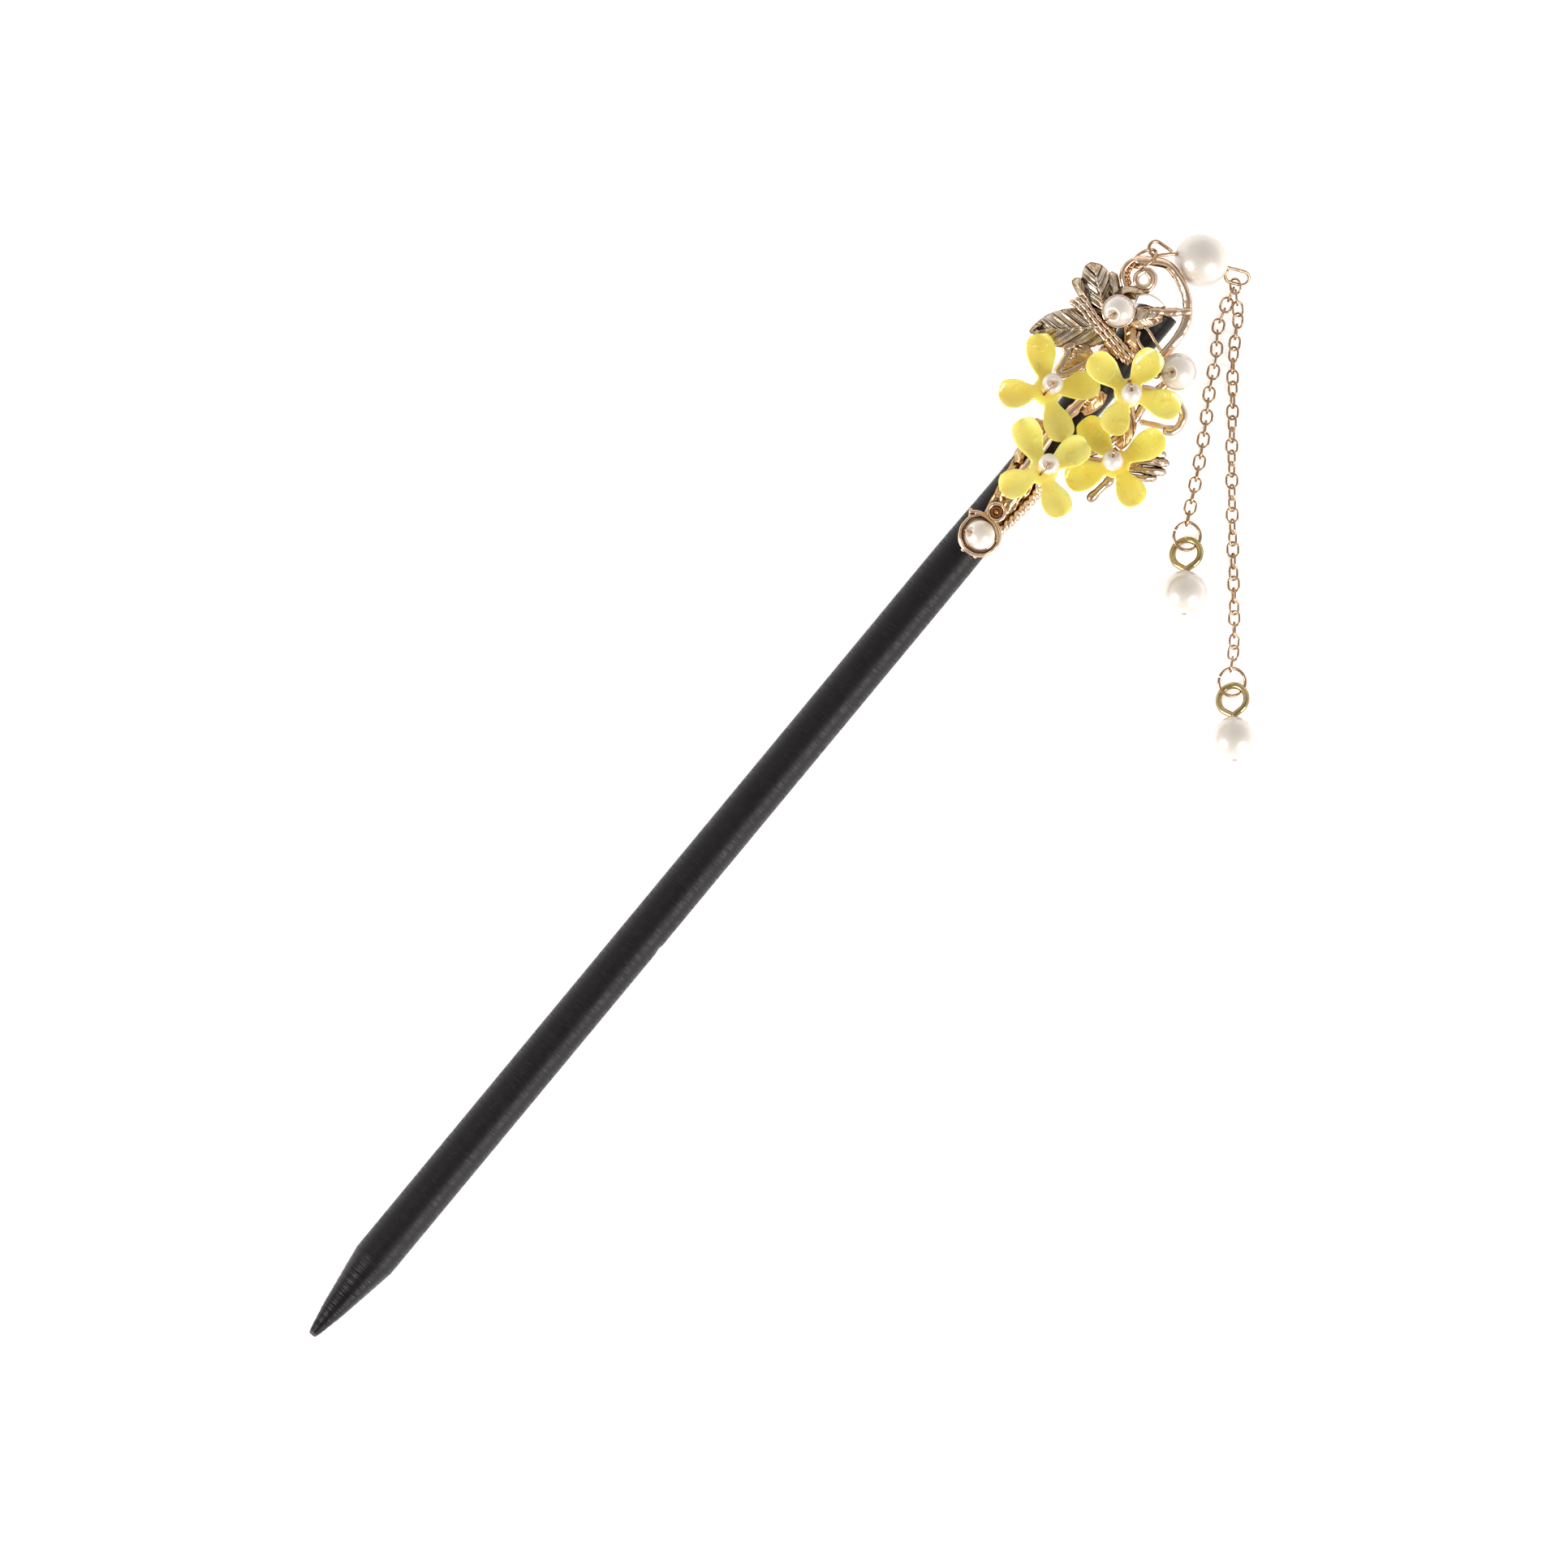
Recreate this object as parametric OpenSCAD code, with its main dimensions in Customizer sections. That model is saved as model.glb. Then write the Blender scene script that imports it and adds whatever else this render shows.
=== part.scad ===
// Hair stick with a cast vine ornament, resin flowers, pearls and a tassel of two fine chains.
// It lies on its side on a flat surface. X runs along the stick from its tip to the ornament,
// Z is up, and the origin is on the stick's axis where the plain shaft meets the ornament's foot.

/* [Stick] */
// Diameter of the plain shaft
shaft_d = 5.8; // [5.4:0.1:6.4]
// Length of the plain shaft from the cone to the ornament's foot
shaft_len = 121.5; // [80:0.5:160]
// Length of the cone at the tip
cone_len = 12.9; // [8:0.1:25]
// Diameter of the blunt end of the tip
tip_d = 1.1; // [0.8:0.1:2]
// Length of the stick under the ornament
head_len = 42; // [38:0.5:43]
// Step in radius where the ornament's seat starts
seat_step = 0.2; // [0.2:0.05:0.3]

/* [Ornament] */
// Length of the ornament from its foot to the top of the bow
vine_len = 47; // [45:0.5:50]
// Half the width of the ornament
vine_half = 12; // [11.5:0.1:13]
// Height of the casting's relief above the stick
relief_h = 2; // [1.8:0.1:2.2]
// Diameter of the main vine
vine_d = 1.7; // [1.4:0.1:2]
// Diameter of the side branches
branch_d = 1.2; // [1:0.1:1.5]
// Diameter of the big bow's rod
bow_d = 0.95; // [0.8:0.05:1.1]
// Diameter of the rod in the C-shaped scroll
scroll_d = 0.85; // [0.7:0.05:1]
// Diameter of the coil's rod
coil_d = 0.8; // [0.6:0.05:0.9]
// Radius of the coil's outer turn, to the middle of its rod
coil_r = 2.2; // [2.1:0.05:2.3]
// Diameter of the thin wires
fine_d = 0.4; // [0.35:0.05:0.5]
// Thickness of the leaves
leaf_t = 0.84; // [0.6:0.02:1.1]
// Height of the crown in the middle of a leaf's lobe
leaf_crown = 0.45; // [0.3:0.05:0.6]
// Height of the raised veins
vein_h = 0.22; // [0.1:0.02:0.3]
// Wall of the pearl cups
cup_wall = 0.45; // [0.3:0.05:0.6]

/* [Flowers] */
// Length of a petal from the flower's middle
petal_len = 7; // [6.4:0.1:7.4]
// Half the width of a petal
petal_half = 2; // [1.7:0.05:2.1]
// Thickness of a petal
petal_t = 0.95; // [0.7:0.05:1.1]
// How far a petal's tip rises above the flower's middle
petal_rise = 0.8; // [0.4:0.05:1]
// How far a petal's edges stand above its middle line
petal_cup = 0.3; // [0.1:0.05:0.6]
// Diameter of the flower's hub
hub_d = 2.8; // [2.4:0.1:3.2]
// Thickness of the flower's hub
hub_t = 1.1; // [0.9:0.05:1.3]

/* [Pearls] */
// Diameter of the beads in the flowers
bead_d = 2.8; // [2.5:0.1:3]
// Diameter of the pearl on the leaf
top_pearl_d = 4.1; // [3.8:0.1:4.4]
// Diameter of the pearl at the side
side_pearl_d = 4.6; // [4.3:0.1:4.8]
// Diameter of the pearl at the foot
foot_pearl_d = 3.9; // [3.6:0.1:4.1]
// Diameter of the big pearl at the top of the tassel
big_pearl_d = 7.2; // [6.9:0.1:7.5]
// Diameter of the two drop pearls
drop_pearl_d = 6.1; // [5.8:0.1:6.6]
// Diameter of the wire through the beads
wire_d = 0.3; // [0.25:0.01:0.35]
// Diameter of the holes in the beads
bead_hole_d = 0.7; // [0.6:0.05:0.8]

/* [Tassel] */
// Outer length of a chain link
link_len = 2.28; // [2.2:0.02:2.4]
// Outer width of a chain link
link_w = 1.75; // [1.65:0.01:1.85]
// Diameter of a link's wire
link_wire = 0.3; // [0.26:0.01:0.32]
// Largest distance from one link's middle to the next
link_pitch = 1.57; // [1.54:0.01:1.57]
// Diameter of the eye pin's wire
pin_d = 0.45; // [0.4:0.01:0.5]
// Diameter of the jump rings' wire
ring_wire = 0.42; // [0.38:0.01:0.46]
// Outer diameter of the jump rings at the chains' ends
ring_d = 4.1; // [3.9:0.05:4.3]
// Outer diameter of the jump ring at the coil
top_ring_d = 3.9; // [3.8:0.05:4.1]
// Diameter of the drops' brass wire
loop_wire = 0.7; // [0.6:0.02:0.75]
// Radius of the drops' eyes, to the middle of the wire
loop_r = 1.85; // [1.75:0.01:1.9]

/* [Hidden] */

// Gap between pieces that touch on the real thing
gap = 0.06;
// Radius of the stick under the ornament, the height of its top, and the surface it lies on
seat_r = shaft_d / 2 - seat_step;
deck = seat_r + gap;
floor_z = -shaft_d / 2;

// Cone of the tip. Columns: share of cone_len from the tip, share of the way from tip to shaft radius
CONE_T = 0;
CONE_R = 1;
cone_rows = [[0, 0], [0.08, 0.13], [0.17, 0.23], [0.33, 0.42], [0.5, 0.57],
             [0.67, 0.72], [0.83, 0.87], [1, 1]];

// Places on the ornament. Columns: share of vine_len, share of vine_half, share of relief_h above the stick
ALONG = 0;
ACROSS = 1;
LIFT = 2;
function spot(p) = [p[ALONG] * vine_len, p[ACROSS] * vine_half, deck + p[LIFT] * relief_h];
function spots(rows) = [for (p = rows) spot(p)];

vine_rows = [[0.135, -0.05, 0.3], [0.2, 0.02, 0.4], [0.32, 0.03, 0.42], [0.45, 0.06, 0.42],
             [0.56, 0.02, 0.42], [0.66, 0.1, 0.42], [0.74, 0.25, 0.42]];
branch_rows = [[0.3, 0, 0.35], [0.4, -0.28, 0.3], [0.5, -0.5, 0.25], [0.6, -0.55, 0.2],
               [0.67, -0.52, 0.12], [0.74, -0.57, 0.05]];
flower_1_branch = [[0.44, 0.05, 0.4], [0.47, 0.2, 0.35], [0.507, 0.393, 0.35]];
flower_2_branch = [[0.6, -0.53, 0.3], [0.63, -0.4, 0.45], [0.645, -0.31, 0.6]];
flower_4_branch = [[0.42, -0.35, 0.3], [0.45, -0.55, 0.3], [0.472, -0.7, 0.45]];
twig_rows = [[0.51, -0.92, 0.25], [0.47, -0.68, 0.3], [0.43, -0.76, 0.25], [0.4, -0.75, 0.22],
             [0.357, -0.733, 0.2]];
rod_rows = [[0.105, -0.18, 0.1], [0.137, -0.2, 0], [0.171, -0.222, -0.08], [0.218, -0.236, -0.12],
            [0.262, -0.245, -0.1], [0.3, -0.2, 0.1]];
bow_rows = [[0.955, 0.53, 0.35], [0.98, 0.4, 0.22], [0.998, 0.257, 0.15], [0.992, 0.09, 0.1],
            [0.973, -0.084, 0.05], [0.946, -0.207, 0], [0.911, -0.297, -0.05],
            [0.867, -0.338, -0.05], [0.823, -0.343, 0], [0.784, -0.34, 0.1], [0.74, -0.42, 0.1]];
crossbar_rows = [[0.87, 0.06, 0.35], [0.9, -0.1, 0.25], [0.935, -0.25, 0.1]];
scroll_rows = [[0.684, -0.4, 0.2], [0.7, -0.505, 0.2], [0.714, -0.624, 0.2], [0.719, -0.747, 0.2],
               [0.712, -0.872, 0.2], [0.698, -0.942, 0.2], [0.669, -0.976, 0.2],
               [0.647, -0.956, 0.25], [0.634, -0.905, 0.3]];
return_rows = [[0.66, -0.965, 0.15], [0.645, -0.89, 0.1], [0.632, -0.785, 0.1],
               [0.612, -0.638, 0.15]];
curl_rows = [[0.655, 0.5, 0.35], [0.634, 0.538, 0.35], [0.6, 0.48, 0.3], [0.572, 0.44, 0.25],
             [0.574, 0.376, 0.25], [0.605, 0.31, 0.3], [0.645, 0.248, 0.35]];
frame_left = [[0.8, 0.02, 0.45], [0.782, -0.019, 0.42], [0.773, -0.118, 0.4], [0.772, -0.25, 0.3]];
frame_right = [[0.822, 0, 0.45], [0.82, -0.06, 0.42], [0.81, -0.17, 0.35], [0.8, -0.3, 0.2]];

// Coil at the top: its middle, its inner radius as a share of coil_r, and its turns
coil_place = [0.923, 0.418, 0.35];
coil_inner = 0.47;
coil_turns = 1.85;

// Lobes of the leaves. Columns: root along, across, lift; tip along, across, lift; share of lobe_w
lobe_w = 2.4;
ROOT = 0;
TIP = 1;
WIDTH = 2;
lobe_rows = [
    [[0.745, 0.41, 0.3], [0.607, 0.95, 0.15], 1],
    [[0.753, 0.47, 0.27], [0.765, 0.86, 0.21], 0.62],
    [[0.766, 0.43, 0.34], [0.802, 0.965, 0.28], 0.6],
    [[0.762, 0.39, 0.38], [0.878, 0.87, 0.3], 0.95],
    [[0.782, 0.37, 0.31], [0.888, 0.6, 0.24], 0.62],
    [[0.757, 0.36, 0.33], [0.722, -0.11, 0.28], 0.8],
    [[0.79, 0.24, 0.26], [0.906, -0.05, 0.33], 0.72],
    [[0.78, 0.2, 0.22], [0.835, -0.05, 0.37], 0.42]
];
side_leaf_rows = [
    [[0.628, -0.47, 0.3], [0.51, -0.62, 0.35], 0.5],
    [[0.61, -0.03, 0.35], [0.52, -0.05, 0.4], 0.5],
    [[0.48, -0.78, 0.3], [0.565, -1.15, 0.1], 0.5],
    [[0.49, -0.84, 0.25], [0.52, -1.16, 0], 0.42],
    [[0.41, 0.1, 0.2], [0.425, 0.3, 0.05], 0.35],
    [[0.3, 0.12, 0.25], [0.345, 0.2, 0.3], 0.4]
];
// Outline of the big leaf. Columns: share of vine_len, share of vine_half
leaf_rows = [
    [0.651, 0.443], [0.636, 0.543], [0.615, 0.672], [0.62, 0.772], [0.608, 0.917], [0.604, 0.975],
    [0.622, 0.985], [0.649, 0.958], [0.68, 0.941], [0.7, 0.902], [0.721, 0.842], [0.735, 0.748],
    [0.745, 0.745], [0.76, 0.841], [0.784, 0.838], [0.797, 0.973], [0.822, 0.913], [0.852, 0.941],
    [0.872, 0.902], [0.878, 0.817], [0.876, 0.734], [0.891, 0.659], [0.884, 0.604], [0.859, 0.569],
    [0.83, 0.52], [0.828, 0.333], [0.813, 0.2], [0.842, 0.188], [0.864, 0.141], [0.903, -0.045],
    [0.872, -0.098], [0.839, -0.053], [0.82, 0.05], [0.788, 0.092], [0.774, -0.08], [0.714, -0.122],
    [0.708, 0.078], [0.692, 0.262], [0.672, 0.35]
];
// Outline of a lobe. Columns: share of its length, share of its half width
lobe_outline = [[0, 0.5], [0.18, 0.82], [0.38, 1], [0.6, 0.95], [0.8, 0.66], [0.94, 0.3],
                [1, 0.08]];

// Sheath round the stick. Columns: share of vine_len, left edge and right edge in degrees from the top
sheath_rows = [[0.11, 12, -44], [0.15, 22, -47], [0.2, 33, -51], [0.25, 43, -55], [0.3, 52, -50],
               [0.342, 49, -27]];
sheath_t = 0.75;

// Flowers. Columns: along, across, height of the middle above the stick, lean, bearing of the lean,
// bearing of the bead's wire, the bead's offset in x and y, and the tilt of the bead's hole
F_ALONG = 0;
F_ACROSS = 1;
F_HEIGHT = 2;
F_LEAN = 3;
F_LEAN_TO = 4;
F_WIRE_TO = 5;
F_BEAD_X = 6;
F_BEAD_Y = 7;
F_HOLE_TILT = 8;
flower_rows = [
    [0.507, 0.393, 2.7, 9, 0, 180, 0.9, 0, 8],
    [0.646, -0.313, 5.1, 5, -65, 47, 0.07, -0.19, 40],
    [0.3255, -0.1375, 4.95, 6, 0, 180, 0.94, 0, 8],
    [0.472, -0.703, 3.2, 9, 90, 27, 0.03, 0.3, 40]
];
// Petals of each flower. Columns: bearing and share of petal_len
BEARING = 0;
REACH = 1;
petal_rows = [
    [[49.3, 1.09], [136.1, 0.95], [235.9, 1.03], [-42.5, 1.01]],
    [[86.4, 1.02], [7.1, 0.96], [-67.5, 1.02], [192.8, 0.86]],
    [[64, 1.07], [-18.2, 0.99], [-119.3, 0.95], [154.4, 0.92]],
    [[75.3, 1.04], [-21.8, 1.06], [-111.2, 0.92], [151.2, 1]]
];
// Outline of a petal. Columns: share of its length, share of petal_half, share of petal_rise
P_ALONG = 0;
P_HALF = 1;
P_RISE = 2;
petal_outline = [[0.12, 0.5, 0], [0.27, 0.5, 0.02], [0.42, 0.73, 0.12], [0.56, 0.94, 0.3],
                 [0.72, 1, 0.55], [0.86, 0.85, 0.8], [0.95, 0.55, 0.94], [1, 0.2, 1]];

// Cups of the three pearls. Columns: along, across, height of the cup's underside, bearing and tilt
// of the pearl's hole
HOLE_TO = 3;
HOLE_TILT = 4;
top_cup = [0.808, 0.346, 0.42, 165, 32];
side_cup = [0.784, -0.58, -0.1, 140, 29];
foot_cup = [0.076, -0.052, 0.02, 112, 60];

// Middle of the big pearl, the pin's bearing through it and the pin's climb
tassel_x = vine_len + 3.35;
big_pearl_at = [tassel_x, 0, floor_z + big_pearl_d / 2];
pin_bearing = 115.8;
pin_climb = 17;

// The drops: step from the middle of the big pearl to each drop's, and the bearing it hangs from
long_step = [-46.08, -43.78];
long_bearing = 41;
short_step = [-35.32, -26.44];
short_bearing = 37;
long_drop = [for (k = [0, 1]) big_pearl_at[k] + long_step[k]];
short_drop = [for (k = [0, 1]) big_pearl_at[k] + short_step[k]];
// Distances from a drop's middle to its ring's middle and to the last link's middle
ring_out = 7.6;
last_link = ring_out + (ring_d + link_len) / 2 - ring_wire - link_wire - 0.12;

// Routes of the chains: chosen points for the middles of the links, as steps from the middle of the
// big pearl, with the height above the surface. The last point is the link in the drop's ring
long_route = [[0.34, -5.65, 1.54], [-2.43, -8.43, 1.33], [-4.2, -9.57, 0.97], [-7.8, -12, 0.9],
              [-11.45, -15, 0.9], [-17.1, -19.5, 0.9], [-24.1, -25.4, 0.9], [-30, -30.5, 0.9],
              [-35.8, -35.4, 0.9]];
short_route = [[-0.85, -5.9, 1.33], [-3.24, -6.63, 1.12], [-5.5, -7.5, 0.96], [-8.55, -9.7, 0.9],
               [-12.7, -12, 0.9], [-16.4, -14.4, 0.9], [-20.35, -16.7, 0.9], [-24.4, -18.9, 0.9]];

// Smooth curve through a list of points
function blend(a, b, c, d, t) =
    0.5 * (2 * b + (c - a) * t + (2 * a - 5 * b + 4 * c - d) * t * t
           + (3 * b - a - 3 * c + d) * t * t * t);
function smooth(p, steps) = concat(
    [for (i = [0 : len(p) - 2]) for (k = [0 : steps - 1])
        blend(p[max(i - 1, 0)], p[i], p[i + 1], p[min(i + 2, len(p) - 1)], k / steps)],
    [p[len(p) - 1]]);

function unit(v) = v / norm(v);
function middle(ring) = [for (k = [0 : 2]) [for (p = ring) p[k]] * [for (p = ring) 1 / len(ring)]];

// Closed solid through rings of points, each ring counterclockwise seen from the far end
module loft(rings) {
    n = len(rings[0]);
    m = len(rings);
    points = concat([for (r = rings) each r], [middle(rings[0]), middle(rings[m - 1])]);
    sides = [for (i = [0 : m - 2]) for (j = [0 : n - 1]) each [
        [i * n + j, (i + 1) * n + j, i * n + (j + 1) % n],
        [i * n + (j + 1) % n, (i + 1) * n + j, (i + 1) * n + (j + 1) % n]]];
    start = [for (j = [0 : n - 1]) [m * n, j, (j + 1) % n]];
    end = [for (j = [0 : n - 1]) [m * n + 1, (m - 1) * n + (j + 1) % n, (m - 1) * n + j]];
    polyhedron(points, concat(sides, start, end));
}

// Round rod along a path, with a rounded end at both sides
module rod(path, d, sides = 7) {
    last = len(path) - 1;
    loft([for (i = [0 : last])
        let (t = unit(path[min(i + 1, last)] - path[max(i - 1, 0)]),
             s = unit(cross([0, 0, 1], t)),
             u = cross(t, s),
             r = (i == 0 || i == last) ? 0.3 * d : d / 2)
        [for (j = [0 : sides - 1])
            path[i] + r * (cos(360 * j / sides) * s + sin(360 * j / sides) * u)]]);
}

// Leaf lobe from root to tip, crowned, with raised veins along it. It is thickest where it is widest
module lobe(root, tip, half_w, veins = 3) {
    t = unit(tip - root);
    s = unit(cross([0, 0, 1], t));
    u = cross(t, s);
    count = 2 * veins;
    loft([for (row = lobe_outline)
        let (c = root + row[0] * (tip - root), w = row[1] * half_w)
        concat(
            [for (j = [0 : count])
                let (v = 1 - 2 * j / count)
                c + s * v * w + u * row[1] * (leaf_crown * (1 - v * v) + (j % 2) * vein_h)],
            [for (v = [-1, 0, 1])
                c + s * v * w * 0.97 - u * leaf_t * (0.5 + 0.5 * row[1]) * (1 - 0.15 * v * v)])]);
}

// Ring with round wire that lies flat, with the small slit of a jump ring
module open_ring(d, wire) {
    rotate_extrude(angle = 354, $fn = 48) translate([(d - wire) / 2, 0]) circle(d = wire, $fn = 24);
}

// Small swelling of the wire where two bends meet
module knuckle(at, wire) {
    translate(at) sphere(d = 1.1 * wire, $fn = 24);
}

// Eye of bent wire: its neck at the origin, its round middle at distance reach along X
module eye(r, reach, wire) {
    a = acos(r / reach);
    side_len = sqrt(reach * reach - r * r);
    translate([reach, 0, 0]) rotate([0, 0, 180 + a])
        rotate_extrude(angle = 360 - 2 * a, $fn = 48) translate([r, 0]) circle(d = wire, $fn = 24);
    for (side = [-1, 1]) {
        rotate([0, 0, side * (90 - a)]) rotate([0, 90, 0]) cylinder(d = wire, h = side_len, $fn = 24);
        knuckle([side_len * sin(a), side * side_len * cos(a), 0], wire);
    }
    knuckle([0, 0, 0], wire);
}

// Drilled pearl, with its hole along Z
module pearl(d, hole) {
    difference() {
        sphere(d = d, $fn = 64);
        cylinder(d = hole, h = d + 1, center = true, $fn = 24);
    }
}

// Wire out of a drilled pearl's hole, over its side and straight down: the hole tilts towards +X
module over_wire(d, tilt, leg) {
    big = d / 2 + 0.1 + wire_d / 2;
    bend = 0.35;
    rise = sqrt(big * big - 2 * bend * big);
    start = atan2(bend, rise);
    knuckle([big * sin(tilt + start), 0, big * cos(tilt + start)], wire_d);
    knuckle([big, 0, 0], wire_d);
    rotate([0, tilt, 0]) {
        knuckle([0, 0, rise], wire_d);
        translate([0, 0, -0.3 * d]) cylinder(d = wire_d, h = 0.3 * d + rise, $fn = 24);
        translate([bend, 0, rise]) rotate([90, 0, 0]) rotate([0, 0, 90 - start])
            rotate_extrude(angle = 90 + start, $fn = 48) translate([bend, 0]) circle(d = wire_d, $fn = 24);
    }
    rotate([90, 0, 0])
        rotate_extrude(angle = 90 - tilt - start, $fn = 64) translate([big, 0]) circle(d = wire_d, $fn = 24);
    translate([big, 0, -leg]) cylinder(d = wire_d, h = leg, $fn = 24);
}

// Cup under a pearl: a bowl with an open top, its underside at the origin
module cup(d) {
    inner = (d / 2 + gap) / cos(10) / cos(10);
    outer = d / 2 + gap + cup_wall;
    translate([0, 0, outer]) rotate_extrude($fn = 18)
        polygon(concat(
            [for (a = [-90 : 20 : -30]) outer * [cos(a), sin(a)]],
            [for (a = [-30 : -20 : -90]) inner * [cos(a), sin(a)]]));
}

// Frames of the flowers, their beads and the three big beads of the ornament
function flower_middle(f) = [f[F_ALONG] * vine_len, f[F_ACROSS] * vine_half, deck + f[F_HEIGHT]];
bead_h = hub_t / 2 + gap + bead_d / 2;
wire_out = bead_d / 2 + 0.1 + wire_d / 2;
function wire_foot(f) = [f[F_BEAD_X] + wire_out * cos(f[F_WIRE_TO]),
                         f[F_BEAD_Y] + wire_out * sin(f[F_WIRE_TO])];

module in_flower(f) {
    translate(flower_middle(f)) rotate([0, 0, f[F_LEAN_TO]]) rotate([0, f[F_LEAN], 0])
        rotate([0, 0, -f[F_LEAN_TO]]) children();
}

module in_bead(f) {
    in_flower(f) translate([f[F_BEAD_X], f[F_BEAD_Y], bead_h]) rotate([0, 0, f[F_WIRE_TO]]) children();
}

function in_cup(place, d) = spot(place) + [0, 0, d / 2 + gap + cup_wall];

module stick() {
    color("#231d1e") rotate([0, 90, 0]) {
        translate([0, 0, -shaft_len - cone_len]) rotate_extrude($fn = 64)
            polygon(concat([[0, 0]],
                [for (c = cone_rows) [tip_d / 2 + c[CONE_R] * (shaft_d - tip_d) / 2, c[CONE_T] * cone_len]],
                [[0, cone_len]]));
        translate([0, 0, -shaft_len]) cylinder(d = shaft_d, h = shaft_len, $fn = 64);
        cylinder(r = seat_r, h = head_len, $fn = 64);
    }
}

module sheath() {
    inner = seat_r + gap;
    loft([for (row = sheath_rows)
        concat(
            [for (k = [0 : 6])
                let (a = row[1] + (row[2] - row[1]) * k / 6, r = inner + sheath_t + (k % 2) * vein_h)
                [row[0] * vine_len, r * sin(a), r * cos(a)]],
            [for (k = [6 : -1 : 0]) let (a = row[1] + (row[2] - row[1]) * k / 6)
                [row[0] * vine_len, inner * sin(a), inner * cos(a)]])]);
}

module coil() {
    steps = 27;
    mid = spot(coil_place);
    rod([for (i = [0 : steps])
        let (turn = coil_turns * i / steps,
             t = min(max((turn - 0.45) / 0.6, 0), 1),
             inward = t * t * (3 - 2 * t),
             r = coil_r * (1 - (1 - coil_inner) * inward))
        mid + [r * cos(60 + 360 * turn), r * sin(60 + 360 * turn) - 0.36 * coil_r * inward, 0.2 * inward]],
        coil_d, 6);
}

module foot() {
    foot_mid = in_cup(foot_cup, foot_pearl_d);
    translate(spot(foot_cup)) cup(foot_pearl_d);
    for (turn = [0, 1])
        translate([foot_mid[0] + 0.1 * turn, foot_mid[1], foot_mid[2] - 0.8 - 0.5 * turn])
            rotate([0, 6 * turn, 0]) rotate_extrude($fn = 18)
                translate([foot_pearl_d / 2 + 0.25 + 0.3 * turn, 0]) circle(d = 0.6, $fn = 6);
    // Ends of the wire turns
    for (tail = [[[0.075, 0.1, 0.47], [0.114, 0.2, 0.4]], [[0.04, -0.01, 0.5], [0.014, -0.009, 0.5]],
                 [[0.04, -0.12, 0.5], [0.021, -0.158, 0.45]]])
        hull() for (end = tail) translate(spot(end)) sphere(d = 0.6, $fn = 8);
    // Small ring above the foot
    translate(spot([0.1545, -0.03, 0.3])) rotate_extrude($fn = 16)
        translate([1.1, 0]) circle(d = 0.7, $fn = 6);
    translate(spot([0.1545, -0.03, 0])) cylinder(r = 1, h = 0.6, $fn = 12);
}

module pegs() {
    for (f = flower_rows) hull() {
        translate([flower_middle(f)[0], flower_middle(f)[1], deck + 0.3 * relief_h])
            sphere(d = branch_d, $fn = 10);
        in_flower(f) translate([0, 0, -hub_t / 2 - gap - 0.15])
            cylinder(d = 0.9 * branch_d, h = 0.3, center = true, $fn = 10);
    }
}

module ornament() {
    color("#c9a77f") difference() {
        union() {
            foot();
            sheath();
            pegs();
            coil();
            rod(smooth(spots(vine_rows), 2), vine_d, 8);
            rod(smooth(spots(branch_rows), 2), branch_d);
            for (path = [flower_1_branch, flower_2_branch, flower_4_branch, twig_rows])
                rod(smooth(spots(path), 2), branch_d, 6);
            rod(smooth(spots(rod_rows), 2), branch_d);
            rod(smooth(spots(bow_rows), 2), bow_d);
            rod(smooth(spots(crossbar_rows), 2), 1.4 * bow_d, 6);
            rod(smooth(spots(scroll_rows), 2), scroll_d);
            for (path = [return_rows, curl_rows]) rod(smooth(spots(path), 2), 0.8 * scroll_d, 6);
            for (path = [frame_left, frame_right]) rod(smooth(spots(path), 2), fine_d, 6);
            translate([0, 0, deck]) linear_extrude(0.6 * leaf_t)
                polygon([for (p = leaf_rows) [p[ALONG] * vine_len, p[ACROSS] * vine_half]]);
            for (row = lobe_rows) lobe(spot(row[ROOT]), spot(row[TIP]), row[WIDTH] * lobe_w);
            for (row = side_leaf_rows) lobe(spot(row[ROOT]), spot(row[TIP]), row[WIDTH] * lobe_w, 2);
            translate(spot(twig_rows[4])) sphere(d = 1.1 * branch_d, $fn = 10);
            translate(spot(top_cup)) cup(top_pearl_d);
            translate(spot(side_cup)) cup(side_pearl_d);
            // Stems that carry the side cup and the leaf
            hull() {
                translate(spot([0.73, -0.55, 0.05])) sphere(d = branch_d, $fn = 10);
                translate(spot(side_cup) - [0, 0, 0.2]) sphere(d = branch_d, $fn = 10);
            }
            hull() {
                translate(spot([0.719, -0.7, 0.2])) sphere(d = scroll_d, $fn = 8);
                translate(spot(side_cup) - [0, 0, 0.2]) sphere(d = branch_d, $fn = 10);
            }
        }
        rotate([0, 90, 0])
            cylinder(r = (seat_r + gap) / cos(5), h = 2 * (head_len + gap), center = true, $fn = 36);
    }
}

module petal(reach) {
    count = 12;
    loft([for (row = petal_outline)
        let (x = row[P_ALONG] * reach * petal_len,
             w = row[P_HALF] * petal_half,
             z = row[P_RISE] * petal_rise,
             edge = row[P_RISE] * petal_cup)
        [for (j = [0 : count - 1])
            let (v = cos(360 * (j + 0.5) / count), t = sin(360 * (j + 0.5) / count))
            [x, w * v, z + edge * v * v + petal_t / 2 * t]]]);
}

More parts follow.
